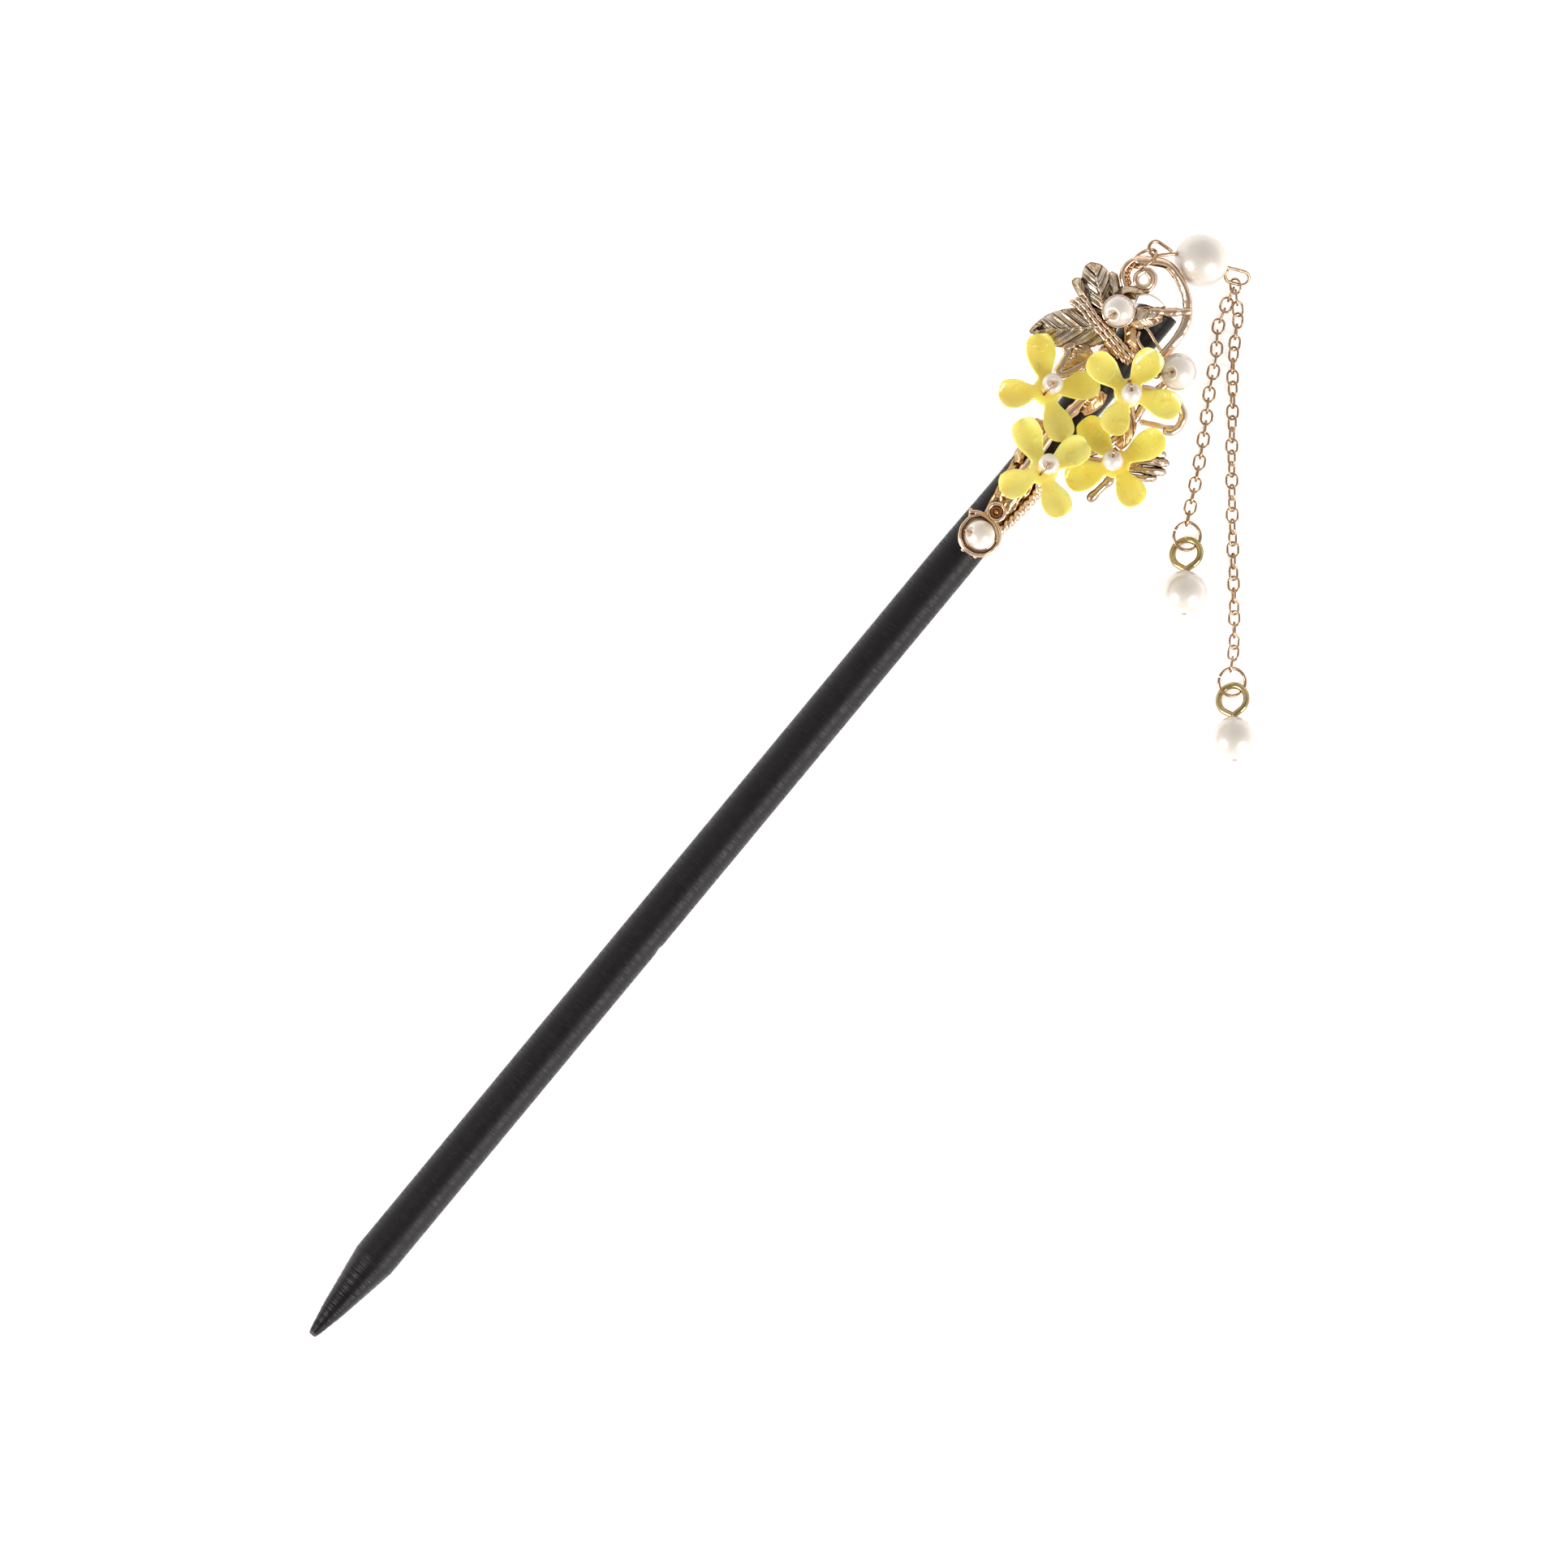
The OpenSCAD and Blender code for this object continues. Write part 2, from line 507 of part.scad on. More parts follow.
module flower(i) {
    f = flower_rows[i];
    petals = petal_rows[i];
    neck = 0.24 * petal_len;
    root_t = 0.84 * petal_t;
    color("#ead65a") in_flower(f) difference() {
        union() {
            cylinder(d = hub_d, h = hub_t, center = true, $fn = 18);
            for (p = petals) rotate([0, 0, p[BEARING]]) {
                petal(p[REACH]);
                hull() {
                    cylinder(d = 0.7 * hub_d, h = root_t, center = true, $fn = 12);
                    translate([neck, 0, 0])
                        cylinder(r = 0.46 * petal_half, h = root_t, center = true, $fn = 10);
                }
            }
            // Webs that round the corners between neighbouring petals
            for (p = petals) rotate([0, 0, p[BEARING]]) hull() for (side = [-1, 1])
                translate([0.8 * neck, side * 0.4 * petal_half, 0])
                    cylinder(d = 0.5 * hub_d, h = root_t, center = true, $fn = 10);
        }
        translate([wire_foot(f)[0], wire_foot(f)[1], 0])
            cylinder(d = wire_d + 0.3, h = 3 * hub_t, center = true, $fn = 12);
    }
}

module flower_bead(i) {
    f = flower_rows[i];
    color("#efe9e4") in_bead(f) rotate([0, f[F_HOLE_TILT], 0]) pearl(bead_d, bead_hole_d);
}

module flower_wire(i) {
    f = flower_rows[i];
    color("#d8b98c") in_bead(f) over_wire(bead_d, f[F_HOLE_TILT], bead_h);
}

// The three pearls on the ornament, and their wires. A wire's leg goes down the given share of the way
// to the cup's rim
module cup_pearl(cup_at, d) {
    color("#efe9e4") translate(in_cup(cup_at, d)) rotate([0, 0, cup_at[HOLE_TO]])
        rotate([0, cup_at[HOLE_TILT], 0]) pearl(d, bead_hole_d);
}

module cup_wire(cup_at, d, share) {
    leg = share * (d / 2 + gap + cup_wall) / 2 - 0.12;
    color("#d8b98c") translate(in_cup(cup_at, d)) rotate([0, 0, cup_at[HOLE_TO]])
        over_wire(d, cup_at[HOLE_TILT], leg);
}

// The pin's own frame: along +X from the middle of the big pearl to the coil's side
module in_pin() {
    translate(big_pearl_at) rotate([0, 0, pin_bearing]) rotate([0, -pin_climb, 0]) children();
}

// The pin is one bent wire: from the end of its side eye along the pin to the end of its upper eye.
// Both ends stop just clear of the wire that they turn back to
pin_neck = big_pearl_d / 2 + gap + 0.1;
side_eye_r = 0.93;
side_eye_lead = side_eye_r + 0.05;
side_eye_straight = 1.45;
side_eye_turn = 180 - acos(1 - 1.15 * pin_d / side_eye_r);
side_eye_roll = 13;
upper_eye_r = 0.96;
upper_eye_reach = 2.8;
upper_eye_roll = 3;

// Points of the eyes in the pin's frame, from their own flat coordinates
function side_point(x, y) = [-pin_neck - x, y * cos(side_eye_roll), -y * sin(side_eye_roll)];
function upper_point(x, y) = [pin_neck + x, y * cos(upper_eye_roll), y * sin(upper_eye_roll)];

pin_path = let (
        far = side_eye_lead + side_eye_straight,
        a = acos(upper_eye_r / upper_eye_reach),
        short = 1.15 * pin_d / sin(2 * (90 - a)))
    concat(
        [for (k = [0 : 5]) let (b = 90 + side_eye_turn * (1 - k / 5))
            side_point(side_eye_lead + side_eye_r * cos(b), side_eye_r + side_eye_r * sin(b))],
        [for (k = [0 : 8]) let (b = 90 - 180 * k / 8)
            side_point(far + side_eye_r * cos(b), side_eye_r + side_eye_r * sin(b))],
        [side_point(0, 0), upper_point(0, 0)],
        [for (k = [0 : 10]) let (b = (180 - a) * (1 - k / 5))
            upper_point(upper_eye_reach + upper_eye_r * cos(b), upper_eye_r * sin(b))],
        [upper_point(short * sin(a), -short * cos(a))]);

module eye_pin() {
    color("#d6b184") in_pin() rod(pin_path, pin_d, 8);
}

module big_pearl() {
    color("#efe7df") in_pin() rotate([0, 90, 0]) pearl(big_pearl_d, pin_d + 0.4);
}

// Jump ring through the coil and the pin's upper eye: step to it from the big pearl, its height above
// the deck, its bearing and roll, and where its slit is
top_ring_step = [-4.72, 5.96];
top_ring_lift = 0.39;
top_ring_at = [big_pearl_at[0] + top_ring_step[0], big_pearl_at[1] + top_ring_step[1], deck + top_ring_lift];
top_ring_bearing = -16.3;
top_ring_roll = -60.5;
top_ring_slit = 250;

module jump_ring_top() {
    color("#c9a27a") translate(top_ring_at) rotate([0, 0, top_ring_bearing])
        rotate([top_ring_roll, 0, 0]) rotate([0, 0, top_ring_slit]) open_ring(top_ring_d, ring_wire);
}

// One chain link lying flat along X
module link() {
    r = (link_w - link_wire) / 2;
    s = (link_len - link_w) / 2;
    for (turn = [-90, 90]) translate([-s * sign(turn), 0, 0]) rotate([0, 0, turn])
        rotate_extrude(angle = 180, $fn = 32) translate([r, 0]) circle(d = link_wire, $fn = 16);
    for (side = [-1, 1]) translate([-s, side * r, 0]) rotate([0, 90, 0])
        cylinder(d = link_wire, h = 2 * s, $fn = 16);
}

// A smooth path and its running length, and the point at a given length along it
function route(steps, drop, bearing) = smooth(concat(
    [for (p = steps) [big_pearl_at[0] + p[0], big_pearl_at[1] + p[1], floor_z + p[2]]],
    [[drop[0] + last_link * cos(bearing), drop[1] + last_link * sin(bearing), floor_z + 0.9]]), 12);
function lengths(p) = [for (i = 0, s = 0; i < len(p);
    s = s + (i < len(p) - 1 ? norm(p[i + 1] - p[i]) : 0), i = i + 1) s];
function at_length(p, run, s) =
    [for (k = [0 : 2]) lookup(s, [for (i = [0 : len(p) - 1]) [run[i], p[i][k]]])];

long_path = route(long_route, long_drop, long_bearing);
long_run = lengths(long_path);
short_path = route(short_route, short_drop, short_bearing);
short_run = lengths(short_path);

// Puts its children on a path at a given length, with X along the path
module on_path(p, run, s, half) {
    a = at_length(p, run, max(s - half, 0));
    b = at_length(p, run, min(s + half, run[len(run) - 1]));
    m = at_length(p, run, s);
    d = b - a;
    translate(m) rotate([0, 0, atan2(d[1], d[0])])
        rotate([0, -atan2(d[2], norm([d[0], d[1]])), 0]) children();
}

// Rolls of the chains. Columns: roll of the first link, which hangs in the pin's eye, roll of the last
// one, which holds the drop's ring, and about how much a link is turned from the one before it
FIRST = 0;
LAST = 1;
TURN = 2;
long_rolls = [30.4, 89.8, 62];
short_rolls = [94.5, 84.5, 90];

// The turn from link to link that brings the last one to its own roll, give or take half turns
function link_turn(rolls, spaces) = let (to_last = rolls[LAST] - rolls[FIRST])
    (to_last + 180 * round((spaces * rolls[TURN] - to_last) / 180)) / spaces;

module chain(p, run, rolls) {
    total = run[len(run) - 1];
    spaces = ceil(total / link_pitch);
    color("#c79c78") for (i = [0 : spaces])
        on_path(p, run, i * total / spaces, link_len / 2)
            rotate([rolls[FIRST] + i * link_turn(rolls, spaces), 0, 0]) link();
}

// Drop: its pearl on the surface, its brass eye turned up to the ring
eye_neck = drop_pearl_d / 2 + 0.26;
eye_reach = 2.25;
drop_pitch = 18;
eye_roll = -17;
ring_roll = 15;
ring_height = 0.95;
ring_slit = 70;

module in_drop(at, bearing) {
    translate([at[0], at[1], floor_z + drop_pearl_d / 2]) rotate([0, 0, bearing])
        rotate([0, drop_pitch, 0]) children();
}

module drop_eye(at, bearing) {
    color("#a8925a") in_drop(at, bearing) {
        translate([eye_neck, 0, 0]) rotate([eye_roll, 0, 0]) eye(loop_r, eye_reach, loop_wire);
        translate([1.2, 0, 0]) rotate([0, 90, 0]) cylinder(d = loop_wire, h = eye_neck - 1.2, $fn = 24);
    }
}

// Ring between a drop's eye and the last link of its chain
module end_ring(at, bearing) {
    color("#c79c78") translate([at[0], at[1], floor_z + ring_height]) rotate([0, 0, bearing])
        translate([ring_out, 0, 0]) rotate([ring_roll, 0, 0]) rotate([0, 0, ring_slit])
            open_ring(ring_d, ring_wire);
}

module drop_pearl(at, bearing) {
    color("#efe7df") in_drop(at, bearing) difference() {
        sphere(d = drop_pearl_d, $fn = 64);
        translate([0.8, 0, 0]) rotate([0, 90, 0]) cylinder(d = loop_wire + 0.2, h = drop_pearl_d, $fn = 24);
    }
}

stick();
ornament();
flower(0);  // flower_1
flower(1);  // flower_2
flower(2);  // flower_3
flower(3);  // flower_4
flower_bead(0);  // flower_bead_1
flower_bead(1);  // flower_bead_2
flower_bead(2);  // flower_bead_3
flower_bead(3);  // flower_bead_4
flower_wire(0);  // flower_wire_1
flower_wire(1);  // flower_wire_2
flower_wire(2);  // flower_wire_3
flower_wire(3);  // flower_wire_4
cup_pearl(top_cup, top_pearl_d);  // pearl_top
cup_pearl(side_cup, side_pearl_d);  // pearl_side
cup_pearl(foot_cup, foot_pearl_d);  // pearl_foot
cup_wire(top_cup, top_pearl_d, 1);  // pearl_wire_top
cup_wire(side_cup, side_pearl_d, 1);  // pearl_wire_side
cup_wire(foot_cup, foot_pearl_d, 0.3);  // pearl_wire_foot
jump_ring_top();
eye_pin();
big_pearl();
chain(long_path, long_run, long_rolls);  // chain_long
chain(short_path, short_run, short_rolls);  // chain_short
end_ring(long_drop, long_bearing);  // jump_ring_long
end_ring(short_drop, short_bearing);  // jump_ring_short
drop_eye(long_drop, long_bearing);  // eye_loop_long
drop_eye(short_drop, short_bearing);  // eye_loop_short
drop_pearl(long_drop, long_bearing);  // drop_pearl_long
drop_pearl(short_drop, short_bearing);  // drop_pearl_short
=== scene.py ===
# %% [markdown]
# # A hair stick with a cast vine, resin flowers and a pearl tassel
# The solids of the stick come in as a fixed frame. Each piece is then made again with the
# surface the real one has, in the same place, and given its own finish. All lengths in this file
# are in millimetres until a mesh is written, because that is how such a small thing is measured.

# %% Load the fixed frame
import bpy
import numpy as np
from mathutils import Matrix, Vector


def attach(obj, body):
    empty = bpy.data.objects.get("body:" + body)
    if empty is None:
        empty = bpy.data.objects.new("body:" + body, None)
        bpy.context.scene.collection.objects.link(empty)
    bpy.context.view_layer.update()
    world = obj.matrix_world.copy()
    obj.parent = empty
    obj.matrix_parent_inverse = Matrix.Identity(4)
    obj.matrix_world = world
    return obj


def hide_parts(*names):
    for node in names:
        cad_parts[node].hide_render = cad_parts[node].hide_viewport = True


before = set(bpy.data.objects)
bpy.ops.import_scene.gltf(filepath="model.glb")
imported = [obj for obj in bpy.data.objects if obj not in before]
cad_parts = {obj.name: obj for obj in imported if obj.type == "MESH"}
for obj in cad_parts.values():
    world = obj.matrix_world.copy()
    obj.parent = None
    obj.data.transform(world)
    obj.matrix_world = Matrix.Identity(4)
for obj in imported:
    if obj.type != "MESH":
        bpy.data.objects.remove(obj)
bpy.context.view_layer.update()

print("nodes:", len(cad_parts))

# %% [markdown]
# The stick lies along X with the ornament at its right end, and the picture looks straight down on
# it, turned so that the stick runs from the lower left to the upper right. A very long lens keeps
# the picture as flat as a catalogue shot, so the camera stands far away.

# %% Camera
MM = 0.001
image_right = np.array([0.6376, -0.7703, 0.0])
image_up = np.array([0.7703, 0.6376, 0.0])
image_middle = np.array([-38.29, -1.64, 0.0])
image_width = 207.7

camera_data = bpy.data.cameras.new("camera")
camera_data.lens = 300.0
camera_data.sensor_width = 36.0
camera_data.clip_end = 20.0
camera = bpy.data.objects.new("camera", camera_data)
bpy.context.scene.collection.objects.link(camera)
camera_height = image_width * camera_data.lens / camera_data.sensor_width
camera.matrix_world = Matrix((
    (image_right[0], image_up[0], 0.0, image_middle[0] * MM),
    (image_right[1], image_up[1], 0.0, image_middle[1] * MM),
    (0.0, 0.0, 1.0, camera_height * MM),
    (0.0, 0.0, 0.0, 1.0)))
bpy.context.scene.camera = camera
print("camera height", round(camera_height), "mm")

# %% [markdown]
# Two softboxes stand low at both sides of the picture's lower half. They are what every pearl shows
# as two white spots, and the right one draws the grey band along the stick.

# %% Softboxes
# Each softbox: its direction (right, up, above), its size in metres and its power in watts
softboxes = {
    "softbox_left": ((-0.80, -0.38, 0.46), (0.58, 0.70), 6.8),
    "softbox_right": ((0.64, -0.58, 0.52), (0.62, 0.74), 7.8),
}
look_at = np.array([0.0, 0.0, 3.0])
softbox_away = 1100.0
for name, (toward, size, power) in softboxes.items():
    direction = toward[0] * image_right + toward[1] * image_up + np.array([0.0, 0.0, toward[2]])
    direction /= np.linalg.norm(direction)
    lamp = bpy.data.lights.new(name, "AREA")
    lamp.shape = "RECTANGLE"
    lamp.size, lamp.size_y = size
    lamp.energy = power
    lamp.color = (1.0, 0.985, 0.965)
    box_lamp = bpy.data.objects.new(name, lamp)
    bpy.context.scene.collection.objects.link(box_lamp)
    box_lamp.location = (look_at + softbox_away * direction) * MM
    box_lamp.rotation_euler = Vector(-direction).to_track_quat("-Z", "Y").to_euler()
print("softboxes:", ", ".join(softboxes))

# %% [markdown]
# The room is bright near the horizon and darker overhead: polished metal that faces the camera then
# turns a deep gold, while its slopes catch the light. A ramp on the height of the line of sight
# paints it.

# %% Room
room_warmth = (1.0, 0.98, 0.96)
room_greys = ((0.30, 0.90), (0.62, 0.66), (0.82, 0.44))
world = bpy.data.worlds.new("studio")
bpy.context.scene.world = world
world.use_nodes = True
sky = world.node_tree
sky.nodes.clear()
sky_place = sky.nodes.new("ShaderNodeTexCoord")
sky_height = sky.nodes.new("ShaderNodeSeparateXYZ")
sky_ramp = sky.nodes.new("ShaderNodeValToRGB")
sky_light = sky.nodes.new("ShaderNodeBackground")
sky_out = sky.nodes.new("ShaderNodeOutputWorld")
sky.links.new(sky_place.outputs["Generated"], sky_height.inputs[0])
sky.links.new(sky_height.outputs["Z"], sky_ramp.inputs[0])
sky.links.new(sky_ramp.outputs["Color"], sky_light.inputs["Color"])
sky.links.new(sky_light.outputs[0], sky_out.inputs[0])
sky_bands = sky_ramp.color_ramp.elements
sky_bands[0].position, sky_bands[0].color = 0.0, (*room_warmth, 1)
sky_bands[1].position, sky_bands[1].color = 1.0, (0.34, 0.325, 0.315, 1)
for place, grey in room_greys:
    band = sky_bands.new(place)
    band.color = (*(grey * warm for warm in room_warmth), 1)
sky_light.inputs["Strength"].default_value = 0.9
bpy.context.scene.view_settings.view_transform = "Standard"
print("room bands:", len(sky_bands))

# %% [markdown]
# Every finish is a small group of nodes on the piece's own coordinates. One helper makes the shader
# and another puts a speckle of a given grain size into it, so each finish below reads as a short
# recipe.

# %% Shader and speckle
def new_finish(name, colour, metallic, roughness, **sockets):
    """A principled shader with its constants set on its own sockets."""
    made = bpy.data.materials.new(name)
    made.use_nodes = True
    shader = made.node_tree.nodes["Principled BSDF"]
    shader.inputs["Base Color"].default_value = (*colour, 1)
    shader.inputs["Metallic"].default_value = metallic
    shader.inputs["Roughness"].default_value = roughness
    for socket, value in sockets.items():
        shader.inputs[socket.replace("_", " ")].default_value = value
    return made, made.node_tree, shader


def speckle(tree, grain, stretch=(1, 1, 1), detail=3.0):
    """Noise whose spots are about the given grain in millimetres, stretched along the axes."""
    place = tree.nodes.new("ShaderNodeTexCoord")
    turn = tree.nodes.new("ShaderNodeMapping")
    turn.inputs["Scale"].default_value = stretch
    spots = tree.nodes.new("ShaderNodeTexNoise")
    spots.inputs["Scale"].default_value = 1.0 / (grain * MM)
    spots.inputs["Detail"].default_value = detail
    tree.links.new(place.outputs["Object"], turn.inputs["Vector"])
    tree.links.new(turn.outputs["Vector"], spots.inputs["Vector"])
    return spots.outputs["Fac"]


print("finish helpers:", new_finish.__name__, "and", speckle.__name__)

# %% [markdown]
# A recipe mixes colours by such a speckle and carries a number from one range to another. Most of a
# noise lies between 0.35 and 0.65, so that range is stretched to the full one.

# %% Mixing and reckoning
noise_low, noise_high = 0.35, 0.65


def blend(tree, amount, first, second):
    """Mix of two colours, or of colour sockets, by an amount from 0 to 1."""
    mix = tree.nodes.new("ShaderNodeMix")
    mix.data_type = "RGBA"
    tree.links.new(amount, mix.inputs[0])
    for socket, value in ((mix.inputs[6], first), (mix.inputs[7], second)):
        if isinstance(value, tuple):
            socket.default_value = (*value, 1)
        else:
            tree.links.new(value, socket)
    return mix.outputs[2]


def between(tree, value, low, high, out_low=0.0, out_high=1.0):
    """The value carried from its low..high range to out_low..out_high, and held at the ends."""
    span = tree.nodes.new("ShaderNodeMapRange")
    tree.links.new(value, span.inputs["Value"])
    span.inputs["From Min"].default_value = low
    span.inputs["From Max"].default_value = high
    span.inputs["To Min"].default_value = out_low
    span.inputs["To Max"].default_value = out_high
    return span.outputs["Result"]


def reckon(tree, operation, first, second=None):
    """A sum, product or sine: the operation on one socket, with a number or a second socket."""
    node = tree.nodes.new("ShaderNodeMath")
    node.operation = operation
    tree.links.new(first, node.inputs[0])
    if isinstance(second, float):
        node.inputs[1].default_value = second
    elif second is not None:
        tree.links.new(second, node.inputs[1])
    return node.outputs[0]


print("mixing helpers:", ", ".join(helper.__name__ for helper in (blend, between, reckon)))

# %% [markdown]
# Fine relief is a bump, given in millimetres. The ambient-occlusion node tells the hollows from
# what stands proud, because it counts how much of the room a point sees, so no mask has to be
# painted. The finishes use it to paint shade into hollows and light into the pearls' holes.

# %% Relief and hollows
def raise_by(tree, shader, height, depth, below=None):
    """Relief of the given depth in millimetres where the height goes from 0 to 1."""
    bump = tree.nodes.new("ShaderNodeBump")
    bump.inputs["Distance"].default_value = depth * MM
    tree.links.new(height, bump.inputs["Height"])
    if below is not None:
        tree.links.new(below, bump.inputs["Normal"])
    tree.links.new(bump.outputs["Normal"], shader.inputs["Normal"])
    return bump.outputs["Normal"]


def hollows(tree, reach):
    """1 in the open and 0 deep in a recess, looking round over the given reach in millimetres."""
    shade = tree.nodes.new("ShaderNodeAmbientOcclusion")
    shade.samples = 8
    shade.inputs["Distance"].default_value = reach * MM
    return shade.outputs["AO"]


print("surface helpers:", raise_by.__name__, "and", hollows.__name__)

# %% [markdown]
# The wooden stick has a black satin lacquer with a faint warm tint. The turning tool left fine
# marks round the wood, which show only in the grey reflection: noise that is very short along the
# stick and long around it raises the surface a little and makes the gloss uneven. The cone was
# rubbed glossier than the shaft, and at the very tip the lacquer is worn thin and looks paler.

# %% Black lacquer
shaft_from, cone_len = -121.5, 12.9
tip_at = shaft_from - cone_len

black_lacquer, tree, shader = new_finish("black_lacquer", (0.009, 0.007, 0.007), 0.0, 0.4,
                                         Specular_IOR_Level=0.3)
turning = speckle(tree, 0.8, stretch=(6, 0.5, 0.5), detail=5.0)
patches = speckle(tree, 2.5, stretch=(1, 0.5, 0.5), detail=2.0)
stick_place = tree.nodes.new("ShaderNodeTexCoord")
stick_axes = tree.nodes.new("ShaderNodeSeparateXYZ")
tree.links.new(stick_place.outputs["Object"], stick_axes.inputs[0])
along_stick = stick_axes.outputs["X"]
satin = between(tree, turning, 0.38, 0.62, 0.28, 0.56)
glossier = between(tree, along_stick, (shaft_from - 2) * MM, (shaft_from + 1) * MM, 0.6, 1.0)
tree.links.new(reckon(tree, "MULTIPLY", satin, glossier), shader.inputs["Roughness"])
lacquer = blend(tree, patches, (0.004, 0.003, 0.0036), (0.009, 0.0065, 0.0075))
worn = between(tree, along_stick, (tip_at + 0.3) * MM, (tip_at + 0.6) * MM, 1.0, 0.0)
tree.links.new(blend(tree, worn, lacquer, (0.11, 0.095, 0.09)), shader.inputs["Base Color"])
raise_by(tree, shader, turning, 0.06)
print("black lacquer: glossier on the cone from %.1f mm, worn at %.1f mm" % (shaft_from, tip_at))

# %% [markdown]
# The casting is plated in a pale gold that leans to pink. What stands proud keeps that colour, and
# the hollows are painted a dark coppery brown as painted shade. The same recipe works for every cast
# piece. Where the surface is seen at a slant its colour is mixed towards the same brown: painted
# shade that draws a dark line along both sides of every wire. The leaves add veins: their meshes
# carry the number "vein", a distance across the veins, and a sine of it raises fine lines and
# darkens their grooves with painted shade. Folded leaves and bark are yellower, seats and shells
# are darker, the facet is bright and the floors of hollows are bare copper.

# %% Gilt for the casting
def gilt(name, bright, rosy, shade_tone, rough, veined=0.0, reach=0.7, proud=0.75, dents=0.03):
    """Plated metal with painted shade in the hollows and at a slant, and fine veins if a spacing is
    given.
    """
    made, tree, shader = new_finish(name, bright, 1.0, rough)
    shader.inputs["Specular Tint"].default_value = (*rosy, 1)
    tone_and_shade = blend(tree, between(tree, speckle(tree, 1.6), noise_low, noise_high), bright, rosy)
    # Painted shade: where the surface is seen at a slant its colour is mixed towards the shade colour.
    slant = tree.nodes.new("ShaderNodeLayerWeight")
    slant.inputs["Blend"].default_value = 0.5
    tone_and_shade = blend(tree, between(tree, slant.outputs["Facing"], 0.3, 0.85), tone_and_shade, shade_tone)
    # Painted shade: deep in hollows the colour is mixed towards the shade colour.
    tone_and_shade = blend(tree, between(tree, hollows(tree, reach), 0.15, proud), shade_tone, tone_and_shade)
    grain = speckle(tree, 0.35)
    tree.links.new(between(tree, grain, 0.3, 0.7, rough * 0.7, rough * 1.5), shader.inputs["Roughness"])
    below = raise_by(tree, shader, speckle(tree, 0.8, detail=1.0), dents)
    if veined:
        vein = tree.nodes.new("ShaderNodeAttribute")
        vein.attribute_name = "vein"
        wave = reckon(tree, "SINE", reckon(tree, "MULTIPLY", vein.outputs["Fac"], 2 * np.pi / veined))
        ridge = between(tree, wave, -1.0, 1.0)
        # Painted shade in the grooves of the veins.
        tone_and_shade = blend(tree, between(tree, ridge, -0.9, 0.4), shade_tone, tone_and_shade)
        raise_by(tree, shader, ridge, 0.045, below)
    tree.links.new(tone_and_shade, shader.inputs["Base Color"])
    return made


# Each finish gives its plated colour, a rosier colour, the brown of its painted shade and a roughness.
champagne_gilt = gilt("champagne_gilt", (0.93, 0.74, 0.55), (0.86, 0.62, 0.44), (0.22, 0.10, 0.045),
                      0.14)
leaf_gilt = gilt("leaf_gilt", (0.84, 0.72, 0.58), (0.60, 0.46, 0.31), (0.07, 0.035, 0.02), 0.14,
                 veined=0.62, reach=1.1, proud=0.9)
bronze_gilt = gilt("bronze_gilt", (0.86, 0.71, 0.55), (0.74, 0.58, 0.43), (0.13, 0.07, 0.035), 0.18,
                   reach=1.0, proud=0.9, dents=0.012)
bark_gilt = gilt("bark_gilt", (0.80, 0.59, 0.36), (0.68, 0.42, 0.20), (0.17, 0.07, 0.02), 0.2,
                 reach=1.0, proud=0.95)
dark_gilt = gilt("dark_gilt", (0.68, 0.51, 0.37), (0.50, 0.35, 0.24), (0.10, 0.045, 0.02), 0.2,
                 reach=0.9, proud=0.9)
polished_gilt = gilt("polished_gilt", (0.97, 0.86, 0.70), (0.95, 0.82, 0.64), (0.20, 0.10, 0.05), 0.12,
                     dents=0.0)
copper_floor = gilt("copper_floor", (0.74, 0.40, 0.20), (0.60, 0.27, 0.11), (0.16, 0.06, 0.02), 0.2)
cast_finishes = (champagne_gilt, leaf_gilt, bronze_gilt, bark_gilt, dark_gilt, polished_gilt,
                 copper_floor)
print("cast finishes:", ", ".join(finish.name for finish in cast_finishes))

# %% [markdown]
# The chains, rings and thin wires are drawn wire with a rosier plating and a smooth polish. The two
# drops hang on older-looking brass wire with a green cast.

# %% Rose gilt and olive brass for the wires
rose_gilt = gilt("rose_gilt", (0.67, 0.47, 0.31), (0.52, 0.34, 0.21), (0.14, 0.06, 0.03), 0.13,
                 reach=0.25, proud=0.6)
olive_brass = gilt("olive_brass", (0.62, 0.50, 0.27), (0.47, 0.37, 0.18), (0.19, 0.13, 0.045), 0.16,
                   reach=0.4, proud=0.6)
print("wire finishes:", rose_gilt.name, "and", olive_brass.name)

# %% [markdown]
# The flowers are moulded in cloudy yellow resin. Light goes a millimetre or two into it, so the
# rims glow. The hubs and the corners round the beads are painted a deeper yellow as painted shade.
# Slow clouds shift the yellow, and the gloss is a clear skin on top with a few drops in it.

# %% Yellow resin
# Share of the deep yellow left in the painted shade of the hubs.
hub_shade_share = (0.97, 0.86, 0.5)


